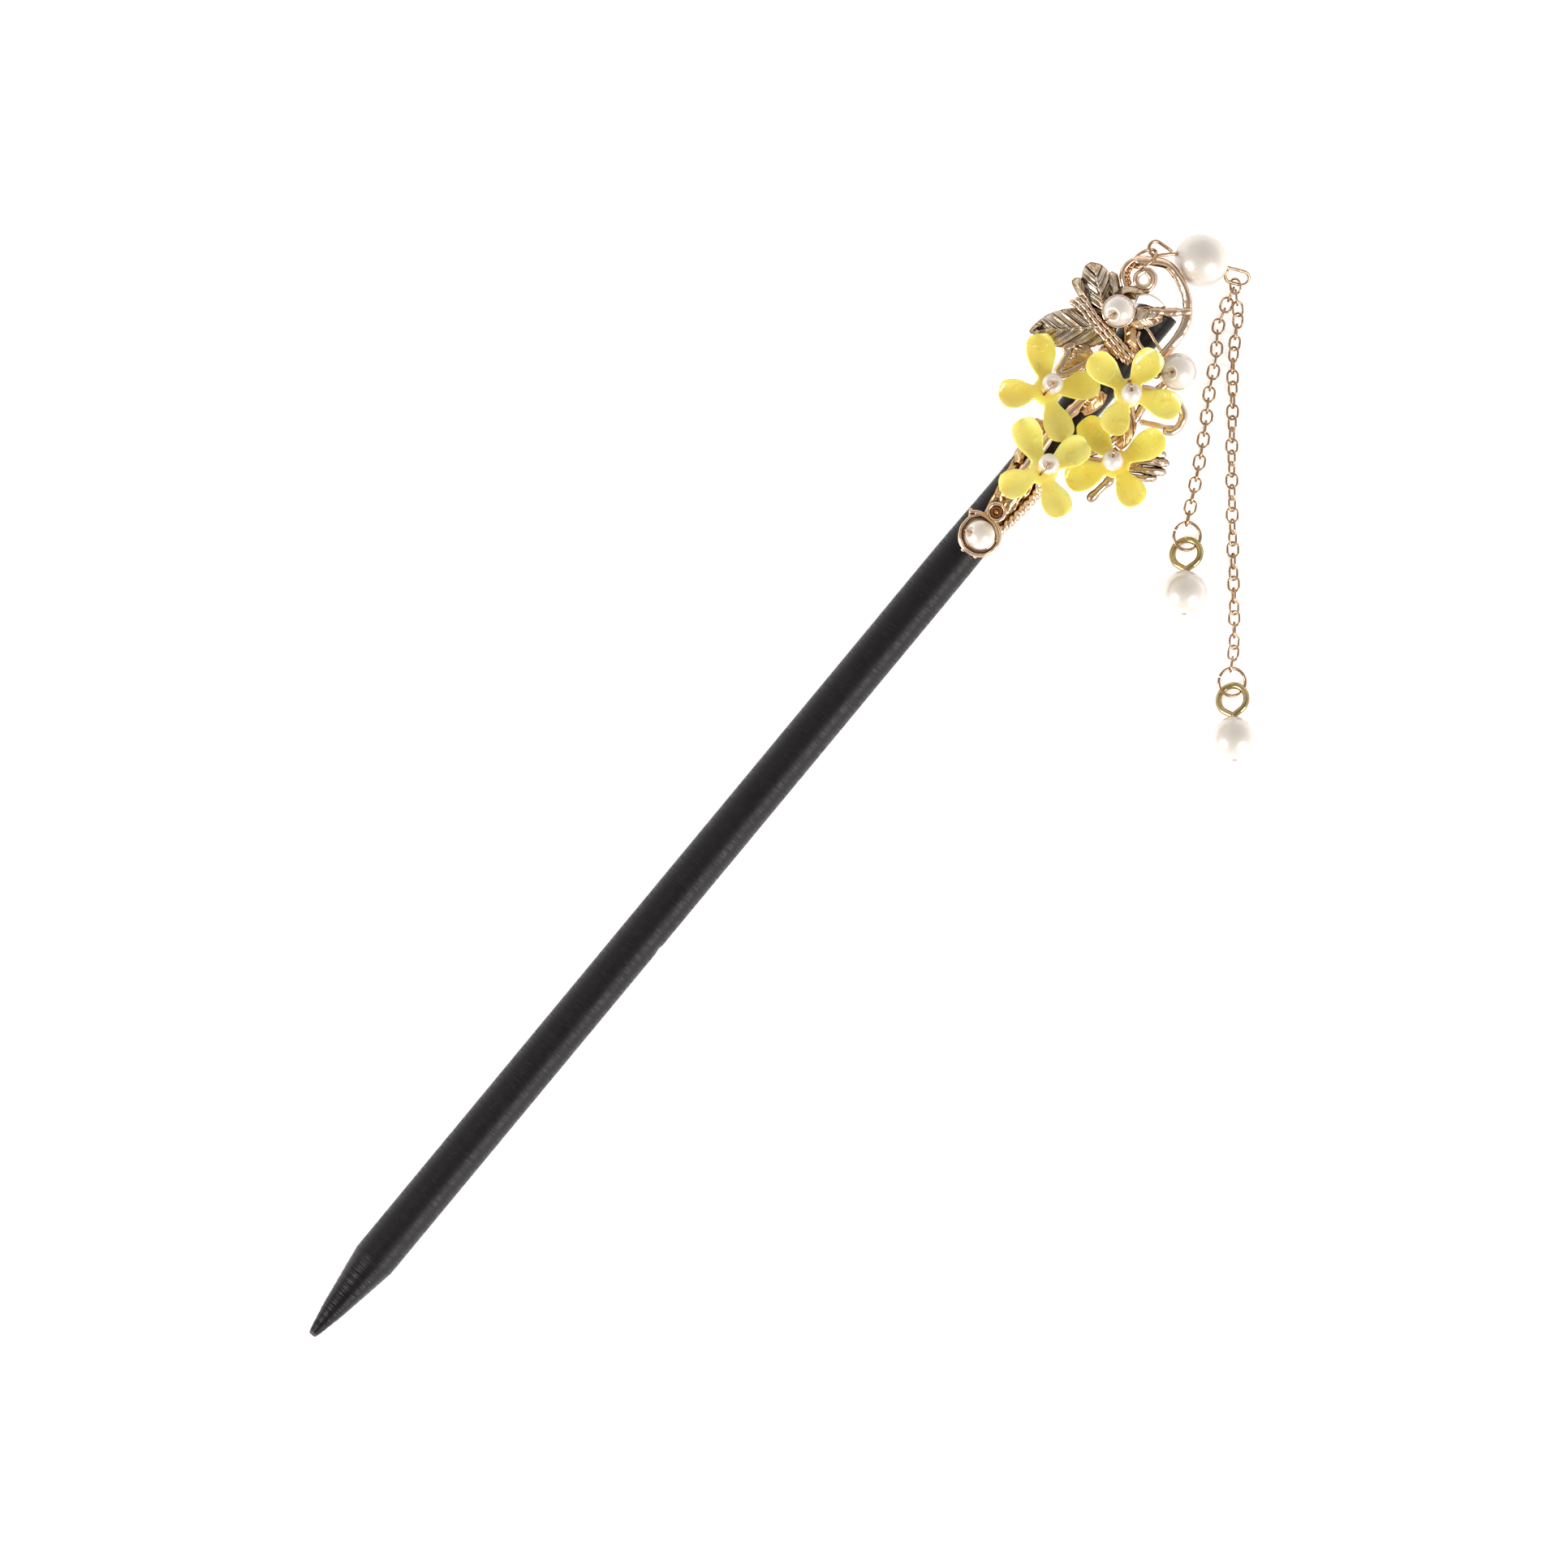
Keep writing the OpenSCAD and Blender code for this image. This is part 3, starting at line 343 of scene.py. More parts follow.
def resin(name, light, deep):
    """Cloudy resin: two yellows in slow clouds, painted shade in hollows, light scattered inside, clear
    gloss.
    """
    made, tree, shader = new_finish(name, light, 0.0, 0.17, Subsurface_Weight=0.75,
                                    Subsurface_Scale=0.0011, Coat_Weight=1.0, Coat_Roughness=0.05,
                                    Coat_IOR=1.9, Specular_IOR_Level=0.45)
    shader.inputs["Subsurface Radius"].default_value = (1.0, 0.75, 0.25)
    cloud = between(tree, speckle(tree, 4.5, detail=2.0), noise_low, noise_high)
    clouds = blend(tree, cloud, deep, light)
    # Painted shade: the hubs and the corners round the beads get a deeper yellow.
    hub_shade = tuple(c * f for c, f in zip(deep, hub_shade_share))
    tree.links.new(blend(tree, between(tree, hollows(tree, 2.2), 0.25, 0.8), hub_shade, clouds),
                   shader.inputs["Base Color"])
    beads = between(tree, speckle(tree, 1.3, detail=1.0), 0.58, 0.7)
    raise_by(tree, shader, beads, 0.09, raise_by(tree, shader, speckle(tree, 1.8, detail=1.0), 0.05))
    return made


resin_tints = {
    1: ((0.90, 0.79, 0.14), (0.83, 0.68, 0.08)),
    2: ((0.91, 0.81, 0.18), (0.86, 0.72, 0.10)),
    3: ((0.93, 0.84, 0.22), (0.86, 0.73, 0.11)),
    4: ((0.97, 0.82, 0.12), (0.93, 0.73, 0.06)),
}
yellow_resin = {i: resin("yellow_resin_%d" % i, *tints) for i, tints in resin_tints.items()}
print("resin tints:", ", ".join(tint.name for tint in yellow_resin.values()))

# %% [markdown]
# The pearls are glass dipped in a nacre lacquer: a soft mirror under a clear gloss. Facing the
# camera they turn a pinkish grey, and towards the rim they mirror the bright room, while a painted
# sheen mixes their colour towards cream where they are seen at a slant. Inside the drilled hole the
# colour is painted a bright honey with a faint glow: painted light, in place of the little light
# that comes through the glass.

# %% Pearl
pearl_lustre, tree, shader = new_finish("pearl", (0.74, 0.68, 0.63), 0.25, 0.34, Coat_Weight=1.0,
                                        Coat_Roughness=0.05, Subsurface_Weight=0.15,
                                        Subsurface_Scale=0.001)
# Painted sheen: the colour is mixed towards cream where the pearl is seen at a slant.
rim = tree.nodes.new("ShaderNodeLayerWeight")
rim.inputs["Blend"].default_value = 0.35
cloud = between(tree, speckle(tree, 3.0, detail=2.0), noise_low, noise_high)
skin_and_sheen = blend(tree, cloud, (0.79, 0.72, 0.655), (0.85, 0.785, 0.70))
skin_and_sheen = blend(tree, rim.outputs["Facing"], skin_and_sheen, (0.80, 0.745, 0.68))
# Painted light: deep in the hole the colour turns a bright honey.
mouth_open = hollows(tree, 0.8)
tree.links.new(blend(tree, between(tree, mouth_open, 0.1, 0.6), (1.0, 0.84, 0.60), skin_and_sheen),
               shader.inputs["Base Color"])
# Painted light: a faint glow deep in the hole.
tree.links.new(blend(tree, between(tree, mouth_open, 0.15, 0.6), (0.34, 0.28, 0.20), (0.0, 0.0, 0.0)),
               shader.inputs["Emission Color"])
shader.inputs["Emission Strength"].default_value = 1.0
print("pearl finish:", pearl_lustre.name)

# %% [markdown]
# ## Making surfaces
# Almost every piece here is a wire, a rod or a leaf, and each is a grid of points: rings along a
# path. The helpers below make the smooth path, the ring of points at each place along it, and the
# faces between neighbouring rings. They work on whole arrays, so a piece with thousands of points
# is a few lines.

# %% Paths
def unit(v):
    """Vectors divided by their own length."""
    return v / np.linalg.norm(v, axis=-1, keepdims=True)


def smooth(points, steps):
    """Catmull-Rom curve: each span is a cubic that passes through its two points, with the slope at
    each point set by its neighbours."""
    p = np.asarray(points, float)
    a, b, c, d = (p[np.clip(np.arange(len(p) - 1) + k, 0, len(p) - 1), None] for k in (-1, 0, 1, 2))
    t = (np.arange(steps) / steps)[None, :, None]
    spans = 0.5 * (2 * b + (c - a) * t + (2 * a - 5 * b + 4 * c - d) * t ** 2
                   + (3 * b - a - 3 * c + d) * t ** 3)
    return np.concatenate([spans.reshape(-1, p.shape[1]), p[-1:]])


def running(path):
    """Running length along a path, from 0 at its first point."""
    return np.concatenate([[0], np.cumsum(np.linalg.norm(np.diff(path, axis=0), axis=1))])


def ripple(x, *waves):
    """Sum of sines: each wave is (height, length, phase)."""
    return sum(h * np.sin(2 * np.pi * x / w + f) for h, w, f in waves)


def mound(u, at, wide, power=2):
    """Bell curve: 1 at a place, and e to the minus of the distance over the width, to a power."""
    return np.exp(-np.abs((u - at) / wide) ** power)


def on_circle(r, a):
    """Flat points of a circle: r cos a and r sin a."""
    return np.stack([r * np.cos(a), r * np.sin(a)], -1)


quarter = smooth([[1, 0], [0.7071, 0.7071], [0, 1]], 20)
print("a curve through 3 points of a quarter circle is %.3f long, the arc is 1.571"
      % running(quarter)[-1])

# %% [markdown]
# A wire is a ring of points carried along such a path. The ring is square to the path everywhere,
# and ridges round it, turned slowly along the way, make a twisted or grooved rod. A turned piece is
# a profile carried round an axis.

# %% Rings of points along a path
def tube(path, radius, sides=16, normal=(0, 0, 1), loop=False, ridges=0, ridge=0.0, twist=0.0, ends=5):
    """Wire along a path: at each place, point = path + r (cos a · side + sin a · up), where up is the
    normal made square to the path and side is square to both. Ridges add ridge · cos(ridges · a) to r,
    turned by twist per mm. Open ends get half a ball, whose rings shrink as the cosine while they step
    out by the sine."""
    p = np.asarray(path, float)
    r = np.broadcast_to(np.asarray(radius, float), len(p)).copy()
    if not loop:
        k = np.linspace(0, 1, ends + 1)[1:-1] * np.pi / 2
        head, tail = unit(p[1] - p[0]), unit(p[-1] - p[-2])
        first = p[0] - head * (r[0] * np.sin(k[::-1]))[:, None]
        last = p[-1] + tail * (r[-1] * np.sin(k))[:, None]
        r = np.concatenate([r[0] * np.cos(k[::-1]), r, r[-1] * np.cos(k)])
        p = np.concatenate([first, p, last])
    along = (np.roll(p, -1, axis=0) - np.roll(p, 1, axis=0)) if loop else np.gradient(p, axis=0)
    t = unit(along)
    n = np.broadcast_to(np.asarray(normal, float), p.shape)
    up = unit(n - np.sum(n * t, axis=1, keepdims=True) * t)
    side = np.cross(up, t)
    a = 2 * np.pi * np.arange(sides) / sides
    turned = a[None, :] + twist * running(p)[:, None]
    rr = r[:, None] * (1 + ridge * np.cos(ridges * turned))
    return p[:, None] + rr[..., None] * (np.cos(a)[None, :, None] * side[:, None]
                                         + np.sin(a)[None, :, None] * up[:, None]), loop


def revolve(profile, around=96, closed=False):
    """Surface of revolution about Z: a profile of (radius, height) carried round the axis."""
    q = np.asarray(profile, float)
    a = 2 * np.pi * np.arange(around) / around
    rings = np.stack([q[:, 0, None] * np.cos(a), q[:, 0, None] * np.sin(a),
                      np.broadcast_to(q[:, 1, None], (len(q), around))], axis=-1)
    return rings, closed


short_wire, _ = tube([[0, 0, 0], [5, 0, 0], [10, 0, 0]], 0.5)
print("a short straight wire has %d rings of %d points" % short_wire.shape[:2])

# %% [markdown]
# Neighbouring rings are joined by four-sided faces, and a fan of triangles closes each open end.
# The signed volume of the closed shape tells whether its faces point outward.

# %% Faces between rings
def faces_of(rings, loop):
    """Four-sided faces between neighbouring rings. A grid that isn't a loop gets a pole in the middle
    of its first and last ring, with a fan of triangles."""
    n, m = rings.shape[:2]
    i, j = np.meshgrid(np.arange(n if loop else n - 1), np.arange(m), indexing="ij")
    nxt, right = (i + 1) % n, (j + 1) % m
    quads = np.stack([i * m + j, nxt * m + j, nxt * m + right, i * m + right], -1).reshape(-1, 4)
    points = rings.reshape(-1, 3)
    if loop:
        return points, quads, np.zeros((0, 3), int)
    k, k2 = np.arange(m), (np.arange(m) + 1) % m
    fans = np.concatenate([np.stack([np.full(m, n * m), k, k2], 1),
                           np.stack([np.full(m, n * m + 1), (n - 1) * m + k2, (n - 1) * m + k], 1)])
    poles = np.stack([rings[0].mean(0), rings[-1].mean(0)])
    return np.concatenate([points, poles]), quads, fans


def volume(points, tris):
    """Signed volume: a sixth of the sum of each triangle's first corner times the others' cross."""
    a, b, c = (points[tris[:, k]] for k in range(3))
    return float(np.einsum("ij,ij->i", a, np.cross(b, c)).sum() / 6)


def outward(rings, loop):
    """Points, four-sided faces and fans of a grid, turned over where its volume is negative."""
    points, quads, fans = faces_of(rings, loop)
    tris = np.concatenate([quads[:, :3], quads[:, [0, 2, 3]], fans])
    if volume(points - points.mean(0), tris) < 0:
        quads, fans = quads[:, ::-1], fans[:, ::-1]
    return points, quads, fans


wire_points, wire_quads, wire_fans = outward(short_wire, False)
print("that wire has %d points, %d quads and %d triangles"
      % (len(wire_points), len(wire_quads), len(wire_fans)))

# %% [markdown]
# A piece is one object made of one or more such grids. It rides on the frame's one body, says which
# solid it stands for, and says which finish it shows. Most pieces stand for the casting.
# The vein numbers of a leaf go into the mesh with it.

# %% One piece
def piece(name, grids, finish, stands_for=(), veins=None, body="root"):
    """One object from several closed grids, whose points stay where they are."""
    points, quads, fans, marks, start = [], [], [], [], 0
    for g, (rings, loop) in enumerate(grids):
        p, q, f = outward(rings, loop)
        points.append(p)
        quads.append(q + start)
        fans.append(f + start)
        mark = np.zeros(len(p))
        if veins is not None and veins[g] is not None:
            mark[:veins[g].size] = veins[g].ravel()
            if not loop:
                mark[-2], mark[-1] = veins[g][0].mean(), veins[g][-1].mean()
        marks.append(mark)
        start += len(p)
    mesh = bpy.data.meshes.new(name)
    mesh.from_pydata((np.concatenate(points) * MM).tolist(), [],
                     np.concatenate(quads).tolist() + np.concatenate(fans).tolist())
    mesh.polygons.foreach_set("use_smooth", np.ones(len(mesh.polygons), bool))
    if veins is not None:
        mesh.attributes.new("vein", "FLOAT", "POINT").data.foreach_set("value", np.concatenate(marks))
    mesh.materials.append(finish)
    mesh.update()
    made = bpy.data.objects.new(name, mesh)
    bpy.context.scene.collection.objects.link(made)
    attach(made, body)
    if stands_for:
        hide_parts(*stands_for)
    print("%-22s %6d points %6d faces" % (name, len(mesh.vertices), len(mesh.polygons)))
    return made


def casting(name, grids, finish, veins=None):
    """A piece of the gilt casting, which is one solid in the frame."""
    return piece(name, grids, finish, ["ornament"], veins)


def turn(axis, degrees):
    """Rotation matrix about one axis, as in the construction."""
    return np.array(Matrix.Rotation(np.radians(degrees), 3, axis))


def placed(grid, rotation, at):
    """A grid turned by a matrix and moved."""
    return grid[0] @ np.asarray(rotation).T + np.asarray(at), grid[1]


def moved(grid, at):
    """A grid moved."""
    return grid[0] + np.asarray(at), grid[1]


print("the casting stands for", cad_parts["ornament"].name)

# %% [markdown]
# ## The stick
# A turned stick is a profile carried round its axis. The real one has a plain shaft, a soft
# shoulder, a cone cut with a hand tool that left uneven rings, and a small blunt end where the
# lacquer is thin. Ripples of a few hundredths of a millimetre along the profile make those rings.

# %% Stick
shaft_r, seat_r = 2.9, 2.7
head_to, tip_r = 42.0, 0.55
seat_from, seat_over = -3.0, 15.0
cone_share = [0, 0.08, 0.17, 0.33, 0.5, 0.67, 0.83, 1]
cone_swell = [0, 0.13, 0.23, 0.42, 0.57, 0.72, 0.87, 1]


def stick_radius(x):
    """Radius along the stick: the cone's curve, then the shaft, then the thinner seat."""
    cone_at = (x - shaft_from) / cone_len + 1
    cone = tip_r + (shaft_r - tip_r) * np.interp(cone_at, cone_share, cone_swell)
    rings = np.abs(ripple(x, (0.030, 0.83, 0.3), (0.028, 0.47, 1.1), (0.020, 0.31, 2.0)))
    in_cone = np.clip((shaft_from - x) / 1.5, 0, 1)
    in_shaft = np.abs(ripple(x, (0.006, 1.7, 0), (0.005, 4.1, 1)))
    body = cone - rings * in_cone - in_shaft * (1 - in_cone)
    seat = np.clip((x - seat_from) / seat_over, 0, 1)
    return body - (shaft_r - seat_r) * seat * seat * (3 - 2 * seat)


stick_x = np.unique(np.concatenate([
    np.linspace(tip_at, shaft_from, 150), np.linspace(shaft_from, -0.02, 330),
    np.linspace(0.0, head_to, 60)]))
stick_r = stick_radius(stick_x)
blunt_end = np.minimum(stick_r, 0.52 + 2 * (stick_x - stick_x[0]))
stick_profile = np.concatenate([
    [[0.12, stick_x[0]], [0.34, stick_x[0]], [0.47, stick_x[0] + 0.03]],
    np.stack([blunt_end, stick_x], 1)[1:],
    [[seat_r - 0.1, head_to], [1.5, head_to], [0.5, head_to]]])
stick_rings, _ = revolve(stick_profile, 112)
stick_rings = stick_rings[..., [2, 0, 1]]
print("stick: %d rings from %.1f to %.1f mm" % (len(stick_rings), stick_x[0], head_to))

# %% [markdown]
# A small nick marks the shaft's side, where the lacquer was knocked. A bell curve round its middle
# draws the surface in there by a twentieth.

# %% Nick in the shaft
nick_at, nick_size, nick_deep = [-65.7, -2.75, 0.4], [0.45, 0.8, 1.2], 0.05
nick = np.exp(-(((stick_rings - nick_at) / nick_size) ** 2).sum(-1))
drawn_in = 1 - nick_deep * nick
stick_rings = stick_rings * np.stack([np.ones_like(nick), drawn_in, drawn_in], -1)
piece("stick_turned", [(stick_rings, False)], black_lacquer, ["stick"])

# %% [markdown]
# ## The casting
# The vine, its branches and the bow are rods, a little uneven as castings are. Their paths repeat
# the construction's places: a share of the ornament's length, a share of its half width, and a lift
# above the stick.

# %% Places on the ornament
vine_len, vine_half, relief_h = 47.0, 12.0, 2.0
seat_gap = 0.06
deck = seat_r + seat_gap


def spots(rows):
    """Shares of the ornament's length, half width and relief as points in millimetres."""
    return np.asarray(rows, float) * [vine_len, vine_half, relief_h] + [0, 0, deck]


def cast_rod(rows, d, steps=9, uneven=0.05, **kind):
    """Rod through the places, whose radius wavers by a few hundredths along its length."""
    path = smooth(spots(rows), steps)
    s = running(path)
    r = d / 2 * (1 - uneven + ripple(s, (uneven * 0.6, 2.3, 0.4), (uneven * 0.4, 1.1, 2.0)))
    return tube(path, r, **kind)


vine_rows = [[0.212, 0.02, 0.0], [0.25, 0.025, 0.25], [0.32, 0.03, 0.42], [0.45, 0.06, 0.42],
             [0.56, 0.02, 0.42], [0.64, 0.08, 0.36], [0.7, 0.18, 0.05]]
branch_rows = [[0.3, 0, 0.35], [0.4, -0.28, 0.3], [0.5, -0.5, 0.25], [0.6, -0.55, 0.2],
               [0.67, -0.52, 0.12], [0.74, -0.57, 0.05]]
side_branches = [
    [[0.44, 0.05, 0.4], [0.47, 0.2, 0.35], [0.507, 0.393, 0.35]],
    [[0.6, -0.53, 0.3], [0.63, -0.4, 0.45], [0.645, -0.31, 0.6]],
    [[0.42, -0.35, 0.3], [0.45, -0.55, 0.3], [0.472, -0.7, 0.45]]]
side_rod_rows = [[0.105, -0.18, 0.1], [0.137, -0.2, 0], [0.171, -0.222, -0.08], [0.218, -0.236, -0.12],
                 [0.262, -0.245, -0.1], [0.3, -0.2, 0.1]]
vine_grids = [cast_rod(vine_rows, 1.7, sides=20, ridges=5, ridge=0.06, twist=0.9),
              cast_rod(branch_rows, 1.2, sides=16, ridges=4, ridge=0.05, twist=1.1)]
vine_grids += [cast_rod(rows, 1.15) for rows in side_branches]
vine_grids += [cast_rod(side_rod_rows, 1.2, steps=14, sides=24, ridges=3, ridge=0.14, twist=2.2)]
casting("vine", vine_grids, champagne_gilt)

# %% [markdown]
# The bow at the top is a thicker rod with a bright line along it, the crossbar is notched, and the
# coil winds inward to a small ring. The coil's turns are nearly a circle at first, and a smooth
# step then draws them in and lets them slip to one side.

# %% Coil
coil_r, coil_wire = 2.2, 0.8
coil_middle = spots([0.923, 0.418, 0.35])
coil_starts, coil_turns, coil_draw, coil_slip = 60, 1.85, 0.53, 0.36
coil_turn = np.linspace(0, coil_turns, 150)
coil_in = np.clip((coil_turn - 0.45) / 0.6, 0, 1)
coil_in = coil_in ** 2 * (3 - 2 * coil_in)
coil_now = coil_r * (1 - coil_draw * coil_in)
coil_angle = np.radians(coil_starts + 360 * coil_turn)
coil_path = coil_middle + np.stack([coil_now * np.cos(coil_angle),
                                    coil_now * np.sin(coil_angle) - coil_slip * coil_r * coil_in,
                                    0.2 * coil_in], 1)
print("the coil's wire is %.1f mm long" % running(coil_path)[-1])

# %% [markdown]
# A rod whose radius has a few ridges round it, turned slowly along the path, gives the bow and the
# scroll their bright lines. The crossbar wavers more, which makes its notches.

# %% Bow, scroll and curl
bow_rows = [[0.955, 0.53, 0.35], [0.98, 0.4, 0.22], [0.998, 0.257, 0.15], [0.992, 0.09, 0.1],
            [0.973, -0.084, 0.05], [0.946, -0.207, 0], [0.911, -0.297, -0.05],
            [0.867, -0.338, -0.05], [0.823, -0.343, 0], [0.784, -0.34, 0.1], [0.74, -0.42, 0.1]]
crossbar_rows = [[0.87, 0.06, 0.35], [0.9, -0.1, 0.25], [0.935, -0.25, 0.1]]
scroll_rows = [[0.684, -0.4, 0.2], [0.7, -0.505, 0.2], [0.714, -0.624, 0.2], [0.719, -0.747, 0.2],
               [0.712, -0.872, 0.2], [0.698, -0.942, 0.2], [0.669, -0.976, 0.2],
               [0.647, -0.956, 0.25], [0.634, -0.905, 0.3]]
return_rows = [[0.66, -0.965, 0.15], [0.645, -0.89, 0.1], [0.632, -0.785, 0.1], [0.612, -0.638, 0.15]]
curl_rows = [[0.655, 0.5, 0.35], [0.637, 0.533, 0.35], [0.629, 0.475, 0.3], [0.6, 0.452, 0.3],
             [0.572, 0.44, 0.25], [0.574, 0.376, 0.25], [0.605, 0.31, 0.3], [0.645, 0.248, 0.35]]
frame_wires = [[[0.8, 0.02, 0.45], [0.782, -0.019, 0.42], [0.773, -0.118, 0.4], [0.772, -0.25, 0.3]],
               [[0.822, 0, 0.45], [0.82, -0.06, 0.42], [0.81, -0.17, 0.35], [0.8, -0.3, 0.2]]]
scroll_grids = [cast_rod(bow_rows, 1.28, steps=14, sides=24, ridges=3, ridge=0.1, twist=0.12),
                cast_rod(crossbar_rows, 1.3, steps=16, uneven=0.16),
                cast_rod(scroll_rows, 1.05, sides=20, ridges=2, ridge=0.08),
                cast_rod(return_rows, 0.8), cast_rod(curl_rows, 0.95, sides=16, ridges=2, ridge=0.2),
                tube(coil_path, coil_wire / 2, sides=20, ridges=4, ridge=0.05, twist=0.5)]
scroll_grids += [cast_rod(rows, 0.46) for rows in frame_wires]
casting("bow_and_scrolls", scroll_grids, champagne_gilt)

# %% [markdown]
# A rough coppery web fills the coil's upper side, between its outer turn and its small ring. It is
# a short rod whose path and thickness both waver.

# %% Web in the coil
web_b = np.radians(np.linspace(35, 160, 40))
web_r = 1.62 + ripple(web_b, (0.07, 0.35, 0.0), (0.05, 0.21, 1.0))
web_path = coil_middle + np.column_stack([on_circle(web_r, web_b), 0 * web_b - 0.05])
web_thick = 0.34 + ripple(running(web_path), (0.06, 0.7, 0), (0.04, 0.4, 1))
casting("coil_web", [tube(web_path, web_thick, sides=16)], copper_floor)

# %% [markdown]
# ## The leaves
# A lobe is a sheet between a middle line and two edges. With v going from -1 at one edge to 1 at
# the other, a point lies on the straight line from the middle line to that edge, raised by a crown
# that falls off as v squared and by a ridge over the middle line. Side veins leave the middle line
# at an angle towards the tip, so the distance along the lobe minus a share of the distance across
# it is the same all along one vein. That number raises the veins and is kept in the mesh for the
# finish.

# %% Leaf lobes
def lobe(middle_line, one_edge, other_edge, height=0.5, crown=0.45, rib=0.12, vein=0.05,
         slant=(1.0, 1.0), spacing=0.9, steps=16, around=80):
    """Sheet from edge to edge over a middle line: z = middle + crown (1 - v²) + rib at v = 0 + veins.
    The veins are a sine of the distance across them, whose spacing and height waver. The thickness
    fades towards the edges as the square root of 1 - v⁸."""
    mid = smooth(middle_line, steps)
    share = running(mid) / running(mid)[-1]

    def edge(points):
        q = smooth(points, steps)
        s = running(q) / running(q)[-1]
        return np.stack([np.interp(share, s, q[:, k]) for k in range(3)], 1)

    a = 2 * np.pi * (np.arange(around) + 0.5) / around
    v, up = np.cos(a), np.sin(a)
    left, right = edge(one_edge), edge(other_edge)
    side = np.where(v[None, :, None] > 0, left[:, None], right[:, None])
    flat = mid[:, None] + np.abs(v)[None, :, None] * (side - mid[:, None])
    width = np.linalg.norm(side - mid[:, None], axis=-1)
    lean = np.where(v > 0, slant[0], slant[1])[None, :]
    phase = running(mid)[:, None] - lean * np.abs(v)[None, :] * width
    phase = phase + ripple(phase, (0.26, 2.7, 0.5), (0.15, 1.5, 1.9))
    phase = phase + np.where(v > 0, 0.0, 0.31)[None, :]
    ends = np.sqrt(np.clip(1 - (2 * share - 1) ** 8, 0.02, 1))[:, None]
    thick = height / 2 * np.sqrt(1 - v ** 8)[None, :] * ends
    middle_rib = rib * mound(v[None, :] * width, 0, 0.22)
    shape = crown * (1 - v ** 2)[None, :] * ends + middle_rib * ends
    uneven = 0.8 + ripple(phase, (0.3, 3.1, 1.0), (0.2, 1.9, 0.2)) - np.where(v > 0, 0.0, 0.25)[None, :]
    folds = vein * uneven * np.sin(2 * np.pi * phase / spacing) * np.clip(width / 0.5, 0, 1) * ends
    top = (up > 0)[None, :]
    z = flat[..., 2] + np.where(top, shape + thick + folds, 0.6 * shape - thick)
    rings = np.concatenate([flat[..., :2], z[..., None]], -1)
    return (rings, False), phase


def above_wood(points):
    """Points in the ornament's own millimetres: x and y along and across, z above the stick."""
    return np.asarray(points, float) + [0, 0, deck]


def lobes(rows):
    """Lobes by name, each from its middle line, its two edges and the way it is folded."""
    return {name: lobe(*(above_wood(line) for line in lines), **how)
            for name, (*lines, how) in rows.items()}


print("leaf heights are counted from %.2f mm above the stick's axis" % above_wood([0, 0, 0])[2])

# %% [markdown]
# The grape leaf has three large parts, smaller points beside them and a few lobes that hang over
# the branch. Each row gives a middle line, both edges, and how high, how veined and how fine the
# lobe is. The lobes over the branch have no fine veins in their finish.

